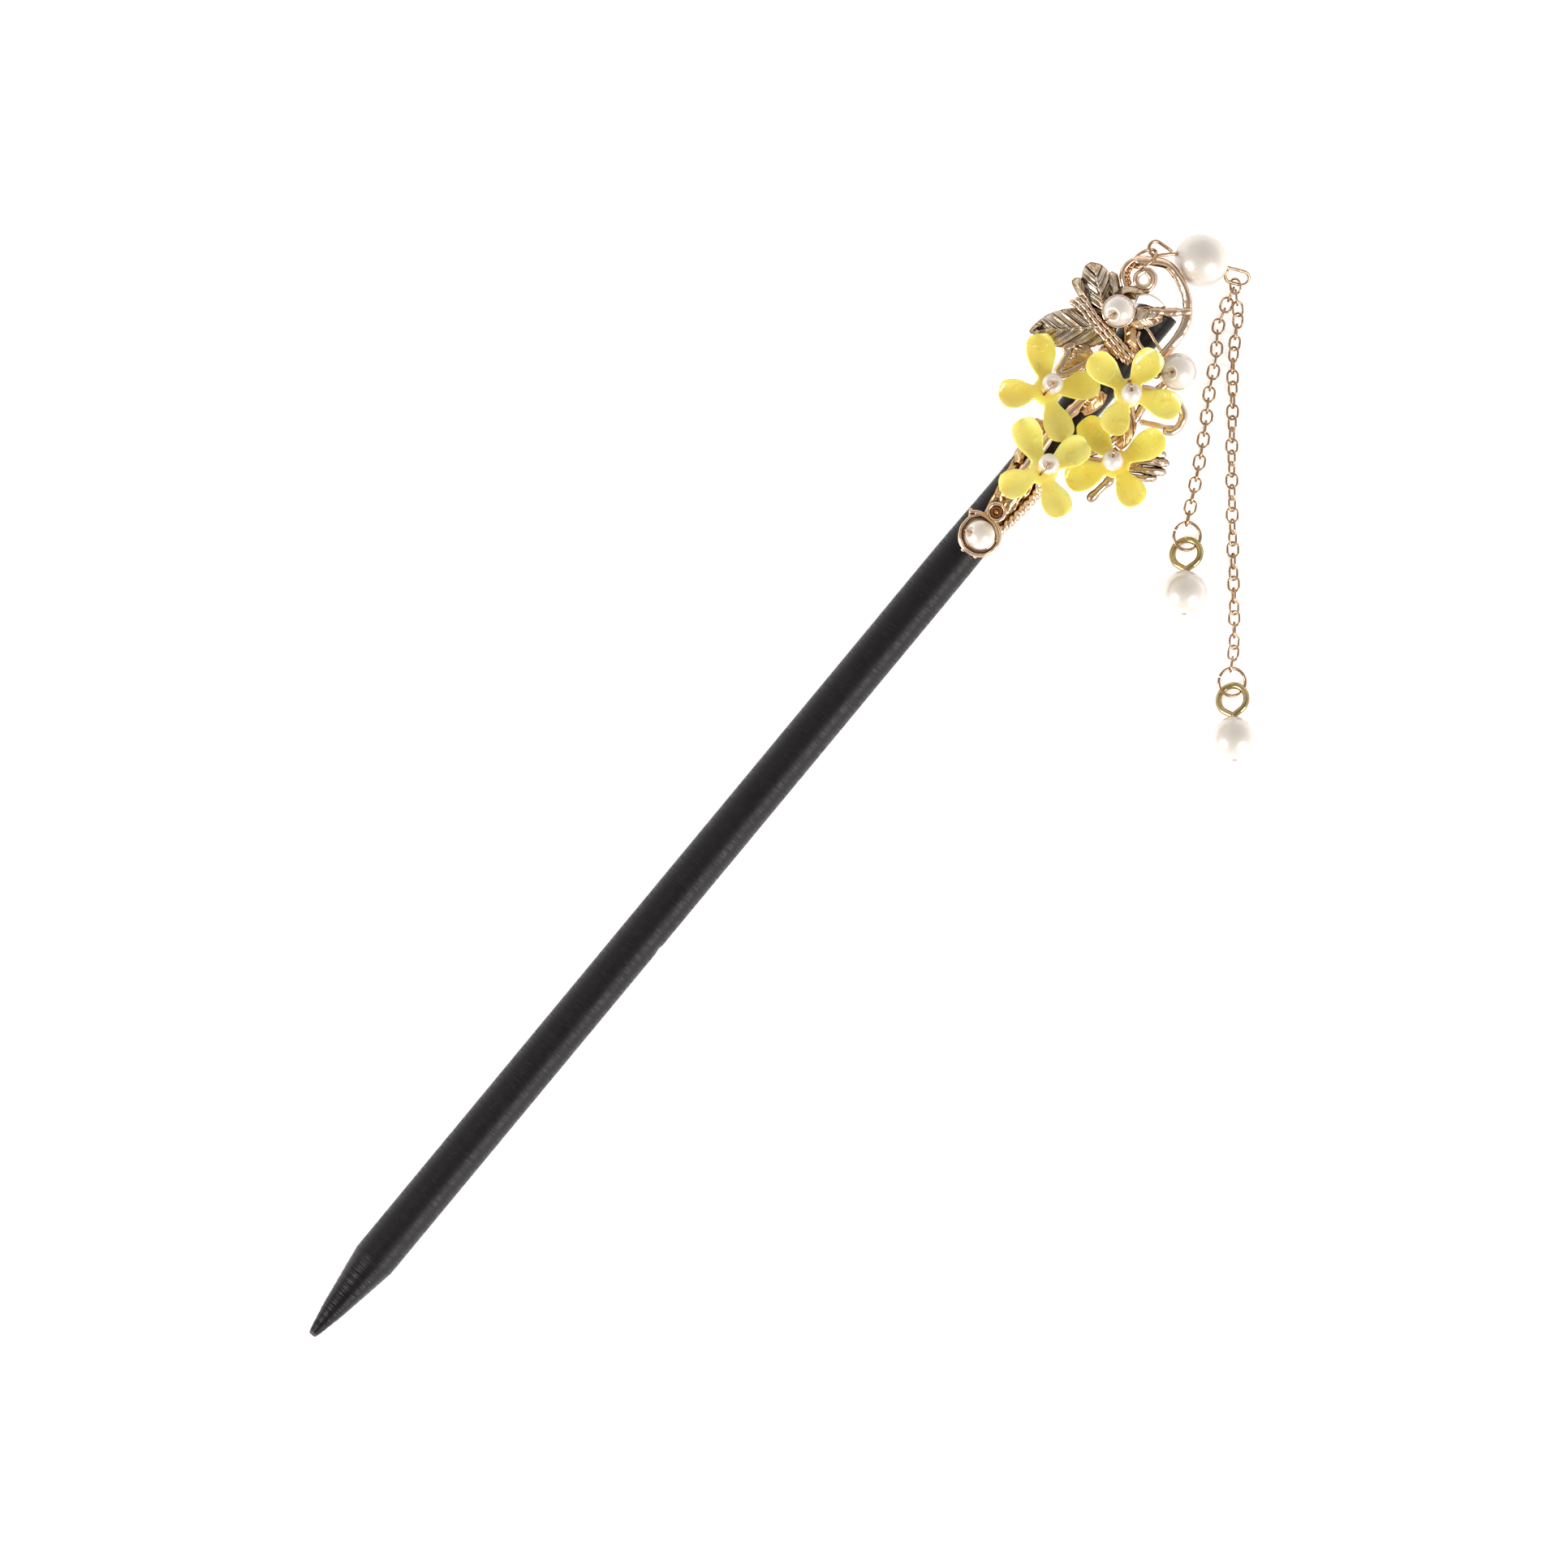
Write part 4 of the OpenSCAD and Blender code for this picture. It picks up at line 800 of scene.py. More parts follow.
# %% Grape leaf
leaf = lobes({
    "left": ([(36.2, 3.6, 0.55), (34.2, 5.5, 0.75), (31.6, 8.2, 0.6), (29.6, 10.4, 0.4),
              (28.5, 11.4, 0.2)],
             [(36.6, 6.4, 0.5), (35.2, 8.4, 0.5), (33.4, 10.1, 0.35), (31.6, 11.15, 0.2),
              (29.6, 11.6, 0.1), (28.6, 11.6, 0.1)],
             [(34.2, 2.4, 0.5), (31.6, 4.3, 0.45), (30.0, 6.3, 0.4), (28.9, 8.1, 0.3),
              (29.0, 9.4, 0.2), (28.4, 11.3, 0.1)],
             dict(crown=0.62, rib=0.25, vein=0.17, slant=(0.55, 1.5), spacing=0.95,
                  steps=40, around=120)),
    "left_tip": ([(30.4, 10.8, 0.75), (29.4, 11.2, 0.85), (28.5, 11.35, 0.6)],
                 [(30.5, 11.35, 0.5), (29.4, 11.62, 0.5), (28.5, 11.6, 0.35)],
                 [(30.1, 10.4, 0.5), (29.1, 10.8, 0.5), (28.35, 11.2, 0.35)],
                 dict(crown=0.3, vein=0.06, spacing=0.6)),
    "top": ([(36.4, 4.6, 0.6), (37.6, 6.6, 0.8), (39.2, 8.7, 0.7), (40.5, 10.3, 0.45),
             (40.9, 10.9, 0.3)],
            [(35.2, 6.0, 0.5), (36.2, 8.6, 0.45), (37.9, 10.4, 0.4), (39.7, 11.35, 0.3),
             (40.8, 11.1, 0.2)],
            [(38.2, 4.0, 0.5), (39.7, 6.2, 0.45), (41.0, 7.9, 0.4), (41.4, 9.6, 0.3),
             (41.0, 10.75, 0.2)],
            dict(crown=0.7, rib=0.3, vein=0.16, slant=(0.9, 0.9), spacing=0.9, steps=34,
                 around=112)),
    "top_left": ([(36.3, 7.2, 0.6), (36.9, 9.2, 0.75), (37.3, 10.9, 0.55), (37.5, 11.45, 0.3)],
                 [(35.6, 7.4, 0.5), (36.2, 9.4, 0.5), (36.9, 11.1, 0.4), (37.3, 11.5, 0.25)],
                 [(37.1, 7.0, 0.5), (37.9, 9.0, 0.5), (38.3, 10.6, 0.4), (37.8, 11.4, 0.25)],
                 dict(crown=0.5, rib=0.2, vein=0.06, spacing=0.7)),
    "top_right": ([(38.6, 5.4, 0.6), (39.9, 6.5, 0.75), (41.1, 7.3, 0.55), (41.7, 7.7, 0.3)],
                  [(38.2, 6.0, 0.5), (39.5, 7.3, 0.5), (40.8, 8.3, 0.4), (41.6, 8.2, 0.25)],
                  [(39.0, 4.8, 0.5), (40.3, 5.7, 0.5), (41.2, 6.6, 0.4), (41.75, 7.3, 0.25)],
                  dict(crown=0.4, vein=0.06, spacing=0.7)),
    "lower_right": ([(36.0, 4.2, 0.55), (34.6, 2.7, 0.75), (34.0, 1.0, 0.65), (33.8, -0.7, 0.45),
                     (33.6, -1.4, 0.3)],
                    [(34.4, 4.6, 0.5), (33.3, 2.7, 0.45), (33.0, 1.0, 0.4), (33.1, -0.6, 0.3),
                     (33.3, -1.4, 0.2)],
                    [(37.2, 3.2, 0.5), (35.6, 2.6, 0.45), (34.7, 1.6, 0.4), (34.7, -0.4, 0.3),
                     (34.2, -1.5, 0.2)],
                    dict(crown=0.5, rib=0.2, vein=0.12, slant=(0.8, 0.8), spacing=0.85,
                         steps=28, around=96)),
    "right": ([(37.2, 2.4, 0.6), (38.6, 1.5, 0.85), (40.0, 0.3, 0.75), (41.2, -0.9, 0.4)],
              [(38.6, 3.6, 0.55), (40.2, 2.4, 0.6), (41.5, 0.9, 0.5), (41.8, -0.6, 0.3)],
              [(36.9, 1.4, 0.45), (38.0, 0.4, 0.5), (39.3, -0.6, 0.4), (40.7, -1.2, 0.25)],
              dict(crown=0.45, rib=0.16, vein=0.1, slant=(0.8, 0.8), spacing=0.8, steps=28,
                   around=96)),
    "middle": ([(37.7, 1.8, 0.45), (36.5, 0.8, 0.7), (35.4, -0.3, 0.65), (34.3, -1.3, 0.35)],
               [(37.2, 2.5, 0.4), (36.1, 1.5, 0.5), (34.9, 0.5, 0.45), (34.0, -1.0, 0.25)],
               [(38.2, 1.1, 0.4), (37.1, -0.1, 0.5), (36.0, -1.1, 0.4), (34.6, -1.6, 0.25)],
               dict(crown=0.35, vein=0.09, slant=(0.7, 0.7), spacing=0.7, steps=20)),
    "neck": ([(39.2, 5.4, 0.5), (40.6, 5.0, 0.9), (41.5, 3.7, 1.0), (42.0, 2.4, 0.6)],
             [(39.3, 6.1, 0.4), (41.0, 5.9, 0.7), (42.2, 4.1, 0.8), (42.5, 2.6, 0.5)],
             [(39.1, 4.8, 0.4), (40.0, 4.2, 0.6), (40.8, 3.2, 0.7), (41.5, 2.2, 0.5)],
             dict(crown=0.3, rib=0.15, vein=0.05, slant=(0.8, 0.8), spacing=0.8, steps=20)),
})
golden_lobes, plain_lobes = ["lower_right", "middle"], ["right", "neck"]
veined = [leaf[name] for name in leaf if name not in golden_lobes + plain_lobes]
casting("grape_leaf", [grid for grid, _ in veined], leaf_gilt, [phase for _, phase in veined])
casting("golden_lobes", [leaf[name][0] for name in golden_lobes], bark_gilt)
casting("plain_lobe", [leaf[name][0] for name in plain_lobes], bronze_gilt)

# %% [markdown]
# Three bright ridges run across the leaf beside the pearl. They are rods that waver along their
# length, and each is the first one's path moved a little to the right.

# %% Leaf ridges
ridge_places = ((-0.62, 1.4), (0.0, 1.6), (0.6, 1.45))
leaf_ridges = []
for k, (shift, lift) in enumerate(ridge_places):
    path = smooth(above_wood([(35.7, 9.7 - 0.4 * k, lift - 0.45), (35.6, 7.9, lift - 0.1),
                              (35.1, 5.9, lift), (34.8, 3.9, lift), (34.5, 1.8, lift - 0.1),
                              (34.1, -0.4 - 0.3 * k, lift - 0.5)]) + [shift, 0, 0], 16)
    thick = 0.33 + ripple(running(path), (0.05, 1.25, k), (0.025, 0.6, 2 * k))
    leaf_ridges.append(tube(path, thick, sides=14))
casting("leaf_ridges", leaf_ridges, champagne_gilt)

# %% [markdown]
# A smooth polished facet lies at the leaf's right, and a folded leaf curls out beside the coil
# wire. The twig that leaves the lowest branch is a polished rod with a knob and a ball at its end:
# two bell curves added to its radius.

# %% Facet, folded leaf and twig
side_leaves = lobes({
    "leaf_facet": ([(40.6, 3.4, 2.2), (41.6, 2.3, 1.55), (42.1, 1.0, 0.8), (42.2, -0.3, 0.1)],
                   [(41.1, 3.7, 2.3), (42.3, 2.6, 1.7), (42.7, 1.1, 0.85), (42.5, -0.4, 0.1)],
                   [(40.1, 3.1, 2.1), (40.9, 2.0, 1.45), (41.4, 0.8, 0.75), (41.8, -0.2, 0.1)],
                   dict(height=0.4, crown=0.04, rib=0.0, vein=0.0, steps=20)),
    "curl_leaf": ([(31.8, 3.6, 0.7), (30.2, 4.7, 0.75), (28.6, 5.0, 0.7), (27.2, 5.2, 0.5)],
                  [(32.2, 4.8, 0.7), (30.8, 5.7, 0.65), (29.4, 5.4, 0.6), (27.4, 5.15, 0.5)],
                  [(31.4, 2.4, 0.6), (29.6, 3.3, 0.6), (28.4, 4.0, 0.55), (27.2, 4.8, 0.5)],
                  dict(crown=0.2, rib=0.0, vein=0.09, slant=(0.9, -0.9), spacing=0.7, steps=24)),
})
casting("leaf_facet", [side_leaves["leaf_facet"][0]], polished_gilt)
casting("curl_leaf", [side_leaves["curl_leaf"][0]], bark_gilt)

twig_rows = [[0.51, -0.92, 0.25], [0.47, -0.68, 0.3], [0.43, -0.76, 0.25], [0.4, -0.75, 0.22],
             [0.357, -0.733, 0.2]]
twig_path = smooth(spots(twig_rows), 12)
twig_run = running(twig_path) / running(twig_path)[-1]
twig_knob, twig_ball = 0.15 * mound(twig_run, 0.66, 0.05), 0.16 * mound(twig_run, 0.97, 0.06)
casting("twig", [tube(twig_path, 0.5 + twig_knob + twig_ball, sides=20)], dark_gilt)

# %% [markdown]
# The small leaves between the flowers are the same lobe, with fewer and deeper folds.

# %% Small leaves
small_leaves = lobes({
    "lower": ([(28.9, -5.4, 0.6), (27.4, -6.3, 0.95), (25.6, -7.0, 0.85), (24.1, -7.3, 0.6)],
              [(28.6, -4.7, 0.6), (27.2, -5.3, 0.75), (25.4, -5.8, 0.7), (24.1, -6.6, 0.5)],
              [(29.2, -6.2, 0.5), (27.7, -7.5, 0.6), (25.6, -8.1, 0.6), (24.1, -7.9, 0.5)],
              dict(crown=0.35, vein=0.13, slant=(2.4, 2.4), spacing=0.8, steps=24)),
    "middle": ([(28.6, -0.7, 0.7), (27.2, -0.7, 1.0), (25.7, -0.7, 1.0), (24.5, -0.6, 0.8)],
               [(28.4, -0.1, 0.6), (27.0, 0.5, 0.8), (25.6, 0.3, 0.8), (24.6, 0.0, 0.7)],
               [(28.6, -1.8, 0.6), (27.2, -2.2, 0.75), (25.5, -1.8, 0.7), (24.5, -1.2, 0.6)],
               dict(crown=0.35, vein=0.12, slant=(0.6, 0.6), spacing=0.75, steps=24)),
    "upper": ([(19.3, 1.3, 0.4), (19.7, 2.4, 0.6), (20.0, 3.6, 0.3)],
              [(18.7, 1.5, 0.3), (19.0, 2.6, 0.4), (19.7, 3.7, 0.2)],
              [(19.9, 1.2, 0.3), (20.5, 2.3, 0.4), (20.3, 3.5, 0.2)],
              dict(crown=0.25, vein=0.04)),
    "left": ([(14.1, 1.5, 0.6), (15.0, 2.0, 0.8), (16.2, 2.4, 0.6)],
             [(13.9, 2.0, 0.4), (14.9, 2.8, 0.5), (16.1, 2.9, 0.4)],
             [(14.3, 1.0, 0.5), (15.2, 1.2, 0.6), (16.3, 1.9, 0.5)],
             dict(crown=0.25, vein=0.05)),
})
casting("copper_leaves", [grid for grid, _ in small_leaves.values()], bark_gilt)

# %% [markdown]
# One small leaf is rolled like a shell. Five bent rods side by side, which swell towards their
# tips, give its rounded folds. Each row gives a root, a tip, a thickness and how far the rod bows
# sideways.

# %% Shell leaf
shell_rows = (((22.9, -9.5, 0.55), (26.6, -13.5, 0.1), 0.62, 0.35),
              ((23.4, -9.2, 0.6), (27.2, -12.5, 0.2), 0.56, 0.55),
              ((22.4, -9.8, 0.5), (25.4, -13.9, 0.0), 0.6, 0.1),
              ((22.0, -10.1, 0.45), (24.1, -13.5, 0.0), 0.5, -0.25),
              ((23.6, -10.6, 0.9), (26.2, -13.0, 0.75), 0.3, 0.7))
shell_arch = 0.35
share = np.linspace(0, 1, 40)
swell = np.interp(share, [0, 0.3, 0.75, 0.92, 1], [0.5, 0.72, 1.0, 1.08, 0.8])
arch = np.sin(np.pi * share)[:, None]
shell_folds = []
for k, (root, tip, thick, bow) in enumerate(shell_rows):
    root, tip = above_wood(root), above_wood(tip)
    across = unit(np.cross([0, 0, 1.0], tip - root))
    line = root + (tip - root) * share[:, None] + across * bow * arch + [0, 0, shell_arch] * arch
    shell_folds.append(tube(line, thick * swell * (1 + ripple(share * 5, (0.05, 1.3, k))), sides=20,
                            ridges=5, ridge=0.07, twist=0.25))
casting("shell_leaf", shell_folds, dark_gilt)

# %% [markdown]
# ## The sheath and the foot
# Near the foot the casting wraps the stick like bark. It is a sheet over the stick's round: a point
# is given by its place along the stick and its angle from the top, and its height above the wood
# follows a raised left blade, a sunken middle and slanting folds.

# %% Sheath
sheath_share = [0.11, 0.15, 0.2, 0.25, 0.3, 0.342]
sheath_left = [12, 22, 33, 43, 52, 49]
sheath_right = [-44, -47, -51, -55, -50, -27]
sheath_x = np.linspace(0.11, 0.342, 150)
sheath_a = 2 * np.pi * (np.arange(150) + 0.5) / 150
across, above = np.cos(sheath_a), np.sin(sheath_a)
left, right = (np.interp(sheath_x, sheath_share, edge) for edge in (sheath_left, sheath_right))
edge_middle, edge_half = (left + right)[:, None] / 2, (left - right)[:, None] / 2
angle = np.radians(edge_middle + edge_half * across[None, :])
x_mm = np.broadcast_to((sheath_x * vine_len)[:, None], angle.shape)
arc = angle * deck
blade, trough = mound(across, 0.72, 0.22)[None, :], mound(across, 0.1, 0.35)[None, :]
bark = ripple(x_mm * 0.45 + arc * 0.9, (0.07, 1.15, 0.4)) + ripple(x_mm * 0.2 - arc, (0.05, 0.7, 1.0))
pit = mound(x_mm, 14.1, 0.8) * mound(arc, 1.35, 0.6)
beside_ring = mound(x_mm, 7.26, 1.5, 4) * mound(arc, -0.36, 1.5, 4)
outer = 0.5 + 0.26 * blade - 0.34 * trough + bark - 0.35 * pit
outer = outer * (1 - beside_ring) + 0.15 * beside_ring
fade = np.sqrt(np.clip(1 - across ** 10, 0, 1))[None, :]
height = np.where(above[None, :] > 0, seat_gap + np.maximum(outer, 0.12) * fade, 0.0)
sheath_r = deck + height
sheath_rings = np.stack([x_mm, sheath_r * np.sin(angle), sheath_r * np.cos(angle)], -1)
casting("sheath_bark", [(sheath_rings, False)], bark_gilt)

# %% [markdown]
# Under the sunken middle lies a second, narrower sheet in bare copper. It uses the same edges,
# drawn together, and a flatter height.

# %% Sheath floor
floor_angle = np.radians(edge_middle + edge_half * (0.1 + 0.42 * across[None, :]))
floor_up = (0.24 + ripple(x_mm, (0.05, 1.3, 0.2), (0.03, 0.6, 1.4))) * (1 - 0.7 * beside_ring)
floor_r = deck + np.where(above[None, :] > 0, floor_up * fade, 0.05)
copper_rings = np.stack([x_mm, floor_r * np.sin(floor_angle), floor_r * np.cos(floor_angle)], -1)
casting("sheath_floor", [(copper_rings, False)], copper_floor)

# %% [markdown]
# Three pearls sit in cups on the casting. A cup is a thin bowl: one arc outside, one inside, and a
# round lip between them, turned about its axis. Each row gives the cup's place, its pearl's size,
# where the pearl's drilled hole points, and how far down its wire reaches.

# %% Cups
cup_wall = 0.45
cups = {
    "top": dict(place=(0.808, 0.346, 0.42), d=4.1, bearing=165, tilt=32, reach=1.0),
    "side": dict(place=(0.784, -0.58, -0.1), d=4.6, bearing=140, tilt=29, reach=1.0),
    "foot": dict(place=(0.076, -0.052, 0.02), d=3.9, bearing=112, tilt=60, reach=0.3),
}


def bowl(d, low=-88, high=-30):
    """Cup under a pearl: two arcs from low to high degrees, joined by a round lip and turned about Z.
    Its underside is at the origin."""
    outer, inner = d / 2 + seat_gap + cup_wall, d / 2 + seat_gap + 0.005
    out_a, rim = np.radians(np.linspace(low, high, 24)), np.radians(high)
    lip_a = np.linspace(0, np.pi, 8)[1:-1]
    lip_r = (outer + inner) / 2 + (outer - inner) / 2 * np.cos(lip_a)
    lip_t = (outer - inner) / 2 * np.sin(lip_a)
    lip = np.stack([lip_r * np.cos(rim) - lip_t * np.sin(rim),
                    lip_r * np.sin(rim) + lip_t * np.cos(rim)], 1)
    arc = on_circle(1, out_a)
    rings, loop = revolve(np.concatenate([outer * arc, lip, inner * arc[::-1]]), 64)
    return rings + [0, 0, outer], loop


cup_middle = {name: spots(cup["place"]) + [0, 0, cup["d"] / 2 + seat_gap + cup_wall]
              for name, cup in cups.items()}
casting("pearl_cups", [moved(bowl(cup["d"]), spots(cup["place"])) for cup in cups.values()],
        champagne_gilt)

# %% [markdown]
# The foot holds its pearl in a bezel of bent wire: several turns that cross at one side, with three
# ends left sticking out. A turn is a wire through points whose bearing, radius and height change
# evenly round the pearl.

# %% Foot bezel
foot_at = cup_middle["foot"]


def ring(at, radius, wire, tilt=0, around=96, wavy=0.0):
    """Closed ring of wire about a point, tilted about Y, with a radius that wavers."""
    a = 2 * np.pi * np.arange(around) / around
    wave = 1 + wavy * np.sin(7 * a) + wavy * np.sin(11 * a + 1)
    path = np.column_stack([on_circle(radius * wave, a), 0 * a])
    return tube(path @ turn("Y", tilt).T + at, wire / 2, loop=True)


def bent_wire(points, d):
    """Wire through chosen points."""
    return tube(smooth(points, 14), d / 2, sides=14)


def round_foot(radii, start, end, low, high, count=14):
    """Points round the foot pearl: through the radii, from one bearing to another, at a height that
    goes from low to high."""
    b = np.radians(np.linspace(start, end, count))
    r = np.interp(np.linspace(0, 1, count), np.linspace(0, 1, len(radii)), radii)
    return np.column_stack([foot_at[:2] + on_circle(r, b), np.linspace(low, high, count)])


bezel = [ring(foot_at + [0, 0, -1.0], 2.66, 0.42, tilt=5, wavy=0.008),
         bent_wire(round_foot([3.35, 2.7, 2.42, 2.5, 2.65], 62, -95, 4.0, 4.3), 0.46),
         bent_wire(round_foot([2.9, 2.3, 2.15, 2.35], 50, -70, 4.6, 4.25, 12), 0.4),
         bent_wire(round_foot([2.55, 2.8, 2.75, 2.7], 95, 250, 4.1, 3.9), 0.44),
         bent_wire(smooth(spots([[0.075, 0.1, 0.47], [0.1, 0.16, 0.44], [0.114, 0.2, 0.4]]), 3), 0.6),
         bent_wire(spots([[0.04, -0.01, 0.5], [0.026, -0.009, 0.5], [0.014, -0.009, 0.5]]), 0.6),
         bent_wire(spots([[0.04, -0.12, 0.5], [0.03, -0.139, 0.47], [0.021, -0.158, 0.45]]), 0.6),
         ring(spots([0.155, -0.03, 0.66]), 1.12, 0.5, around=64, wavy=0.01)]
casting("foot_bezel", bezel, champagne_gilt)
casting("bezel_seat", [ring(foot_at + [0, 0, -1.3], 2.24, 0.5, wavy=0.006)], dark_gilt)

# %% [markdown]
# Beside the bezel stands a small ring, the last wire above. It has a coppery floor and a ball in
# it, both turned about an upright axis.

# %% Floor and ball of the small ring
ball_a = np.radians(np.linspace(-88, 88, 20))
ring_floor = revolve([[0.1, 0.5], [0.55, 0.52], [1.0, 0.66], [1.06, 0.4], [1.06, 0.05], [0.1, 0.0]], 48)
ball = revolve(on_circle(0.34, ball_a), 32)
casting("ring_floor", [moved(ring_floor, spots([0.155, -0.03, 0.1])),
                       moved(ball, spots([0.155, -0.03, 0.5]))], copper_floor)

# %% [markdown]
# ## The flowers
# A petal is a flat spoon: rings along its length, each a rounded bar whose width follows the
# outline and whose edges stand a little above its middle. Most of the rings lie near the tip, where
# the outline turns quickly.

# %% Petal
petal_len, petal_half, petal_t, petal_rise = 7.0, 2.0, 0.9, 0.8
outline_at = [0.0, 0.12, 0.27, 0.42, 0.56, 0.72, 0.86, 0.95, 1.0]
outline_half = [0.5, 0.5, 0.5, 0.73, 0.94, 1.0, 0.85, 0.55, 0.0]
outline_rise = [0, 0, 0.02, 0.12, 0.3, 0.55, 0.8, 0.94, 1]
tip_from, along_count, across_count = 0.7, 60, 40


def spoon(reach, bowl_power, bowl_deep):
    """One petal along X: width from the outline, a bar with rounded sides across, and edges that stand
    up as a power of the place across: 2 is a round bowl, 3 a flat petal with turned-up edges."""
    s = 1 - np.cos(np.linspace(0.0, np.pi / 2, along_count)) ** 1.2
    s = np.linspace(0, 1, along_count) * 0.4 + s * 0.6
    end = np.clip(1 - ((s - tip_from) / (1 - tip_from)).clip(0, 1) ** 2.5, 0, 1) ** 0.45
    flat = smooth(np.stack([outline_at, outline_half, outline_rise], 1), 12)
    half = np.interp(s, flat[:, 0], flat[:, 1])
    half = np.where(s > tip_from, end, half) * petal_half
    rise = np.interp(s, flat[:, 0], flat[:, 2])[:, None]
    a = 2 * np.pi * np.arange(across_count) / across_count
    v, t = (np.sign(k) * np.abs(k) ** 0.75 for k in (np.cos(a), np.sin(a)))
    thick = petal_t / 2 * (0.9 + 0.1 * np.cos(2 * np.pi * s)) * np.maximum(end, 0.05) ** 0.5
    x = np.broadcast_to((s * reach * petal_len)[:, None], (along_count, across_count))
    # Near the root, inside the hub, the rise dips just below 0 and its root is not a number. The melt
    # leaves those rings out.
    bowl_up = bowl_deep * np.sqrt(rise) * np.abs(v) ** bowl_power
    z = petal_rise * rise + bowl_up + thick[:, None] * t
    return np.stack([x, half[:, None] * v, z], -1), False


print("a petal is a grid of %d by %d points" % spoon(1.0, 2.0, 1.0)[0].shape[:2])

# %% [markdown]
# Each row gives a flower's place on the casting, its lean and the lean's bearing, its bead's place
# in the hub, the bearing and tilt of the bead's wire, how its petals are bowled, and each petal's
# bearing and reach.

# %% Places of the flowers
flowers = {
    1: dict(place=(0.507, 0.393, 2.7), lean=(9, 0), bead=(0.9, 0), wire=(180, 8), bowl=(2.3, 0.95),
            petals=((49.3, 1.09), (136.1, 0.95), (235.9, 1.03), (-42.5, 1.01))),
    2: dict(place=(0.646, -0.313, 5.1), lean=(5, -65), bead=(0.07, -0.19), wire=(47, 40),
            bowl=(2.5, 0.95), petals=((86.4, 1.02), (7.1, 0.96), (-67.5, 1.02), (192.8, 0.86))),
    3: dict(place=(0.3255, -0.1375, 4.95), lean=(6, 0), bead=(0.94, 0), wire=(180, 8),
            bowl=(1.9, 1.15), petals=((64, 1.07), (-18.2, 0.99), (-119.3, 0.95), (154.4, 0.92))),
    4: dict(place=(0.472, -0.703, 3.2), lean=(9, 90), bead=(0.03, 0.3), wire=(27, 40), bowl=(2.5, 0.9),
            petals=((75.3, 1.04), (-21.8, 1.06), (-111.2, 0.92), (151.2, 1))),
}


def flower_frame(flower):
    """Rotation and middle of a flower: its lean about its own bearing."""
    (along, across, lift), (lean, bearing) = flower["place"], flower["lean"]
    rotation = turn("Z", bearing) @ turn("Y", lean) @ turn("Z", -bearing)
    return rotation, np.array([along * vine_len, across * vine_half, deck + lift])


for i, flower in flowers.items():
    print("flower", i, "sits at", flower_frame(flower)[1].round(2), "mm")

# %% [markdown]
# The four petals and the hub are melted into one skin with a voxel remesh and a few rounds of
# smoothing, because moulded resin has soft fillets and no seams, and light has to travel inside it
# without meeting an inner wall.

# %% Flowers
hub_d, hub_t, melt_grain, melt_rounds = 2.8, 1.1, 0.13, 5


def melted(made, voxel, rounds):
    """The object's closed shapes melted into one skin of small even faces, then smoothed."""
    melt = made.modifiers.new("melt", "REMESH")
    melt.mode = "VOXEL"
    melt.voxel_size = voxel * MM
    melt.use_smooth_shade = True
    soften = made.modifiers.new("soften", "SMOOTH")
    soften.factor = 0.5
    soften.iterations = rounds
    bpy.context.view_layer.update()
    evaluated = made.evaluated_get(bpy.context.evaluated_depsgraph_get())
    skin = bpy.data.meshes.new_from_object(evaluated)
    made.modifiers.clear()
    made.data = skin
    print("   melted into", len(skin.polygons), "faces")


hub_a = np.radians(np.linspace(-90, 90, 30))
hub_profile = np.stack([0.2 + (hub_d / 2 + 0.35) * np.cos(hub_a) ** 0.5, hub_t / 2 * np.sin(hub_a)], 1)
for i, flower in flowers.items():
    rotation, at = flower_frame(flower)
    grids = [placed(spoon(reach, *flower["bowl"]), rotation @ turn("Z", bearing), at)
             for bearing, reach in flower["petals"]]
    grids.append(placed(revolve(hub_profile, 48), rotation, at))
    petals = piece("petals_%d" % i, grids, yellow_resin[i], ["flower_%d" % i])
    melted(petals, melt_grain, melt_rounds)

# %% [markdown]
# ## Pearls and their wires
# A drilled pearl is a ring-shaped surface: round outside, a straight wall in the hole, and a small
# rounded lip between them where the lacquer gathers. The small pearls have a wide and shallow
# mouth, so that the hole shows beside its wire.

# %% Drilled pearls
def drilled(d, hole, around, lip=0.2, mouth=None):
    """Profile of a drilled pearl about Z: the ball's arc, a lip of small radius, and the hole's wall. A
    mouth is a wider, shallow start of the hole, with a floor 0.15 mm down, painted with honey light."""
    big, edge = d / 2, (mouth or hole) / 2
    centre = edge + lip
    lift = np.sqrt((big - lip) ** 2 - centre ** 2)
    out = np.arctan2(lift, centre)
    ball = np.linspace(-out, out, 72)
    bend = np.linspace(out, np.pi, 12)[1:]
    arc = on_circle(big, ball)
    lip_top = [centre, lift] + on_circle(lip, bend)
    deep = np.array([0.08, 0.13, 0.16, 0.18]) if mouth else np.zeros(0)
    mouth_wall = np.stack([np.array([edge, edge, edge - 0.05, hole / 2])[:len(deep)], lift - deep], 1)
    low = lift - (0.3 if mouth else 0.0)
    hole_wall = np.stack([np.full(9, hole / 2), np.linspace(low, -low, 11)[1:-1]], 1)
    wall = np.concatenate([mouth_wall, hole_wall, mouth_wall[::-1] * [1, -1]])
    return revolve(np.concatenate([arc, lip_top, wall, lip_top[::-1] * [1, -1]]), around, closed=True)


print("a drilled pearl is a grid of %d by %d points" % drilled(4.0, 0.4, 112)[0].shape[:2])

# %% [markdown]
# A wire comes up through the hole, bends over the pearl's side and goes down again. Its path lies
# in one plane: a straight stem, a small quarter bend, an arc over the pearl and a straight leg.

# %% Wires over the pearls
wire_d, wire_gap = 0.3, 0.1


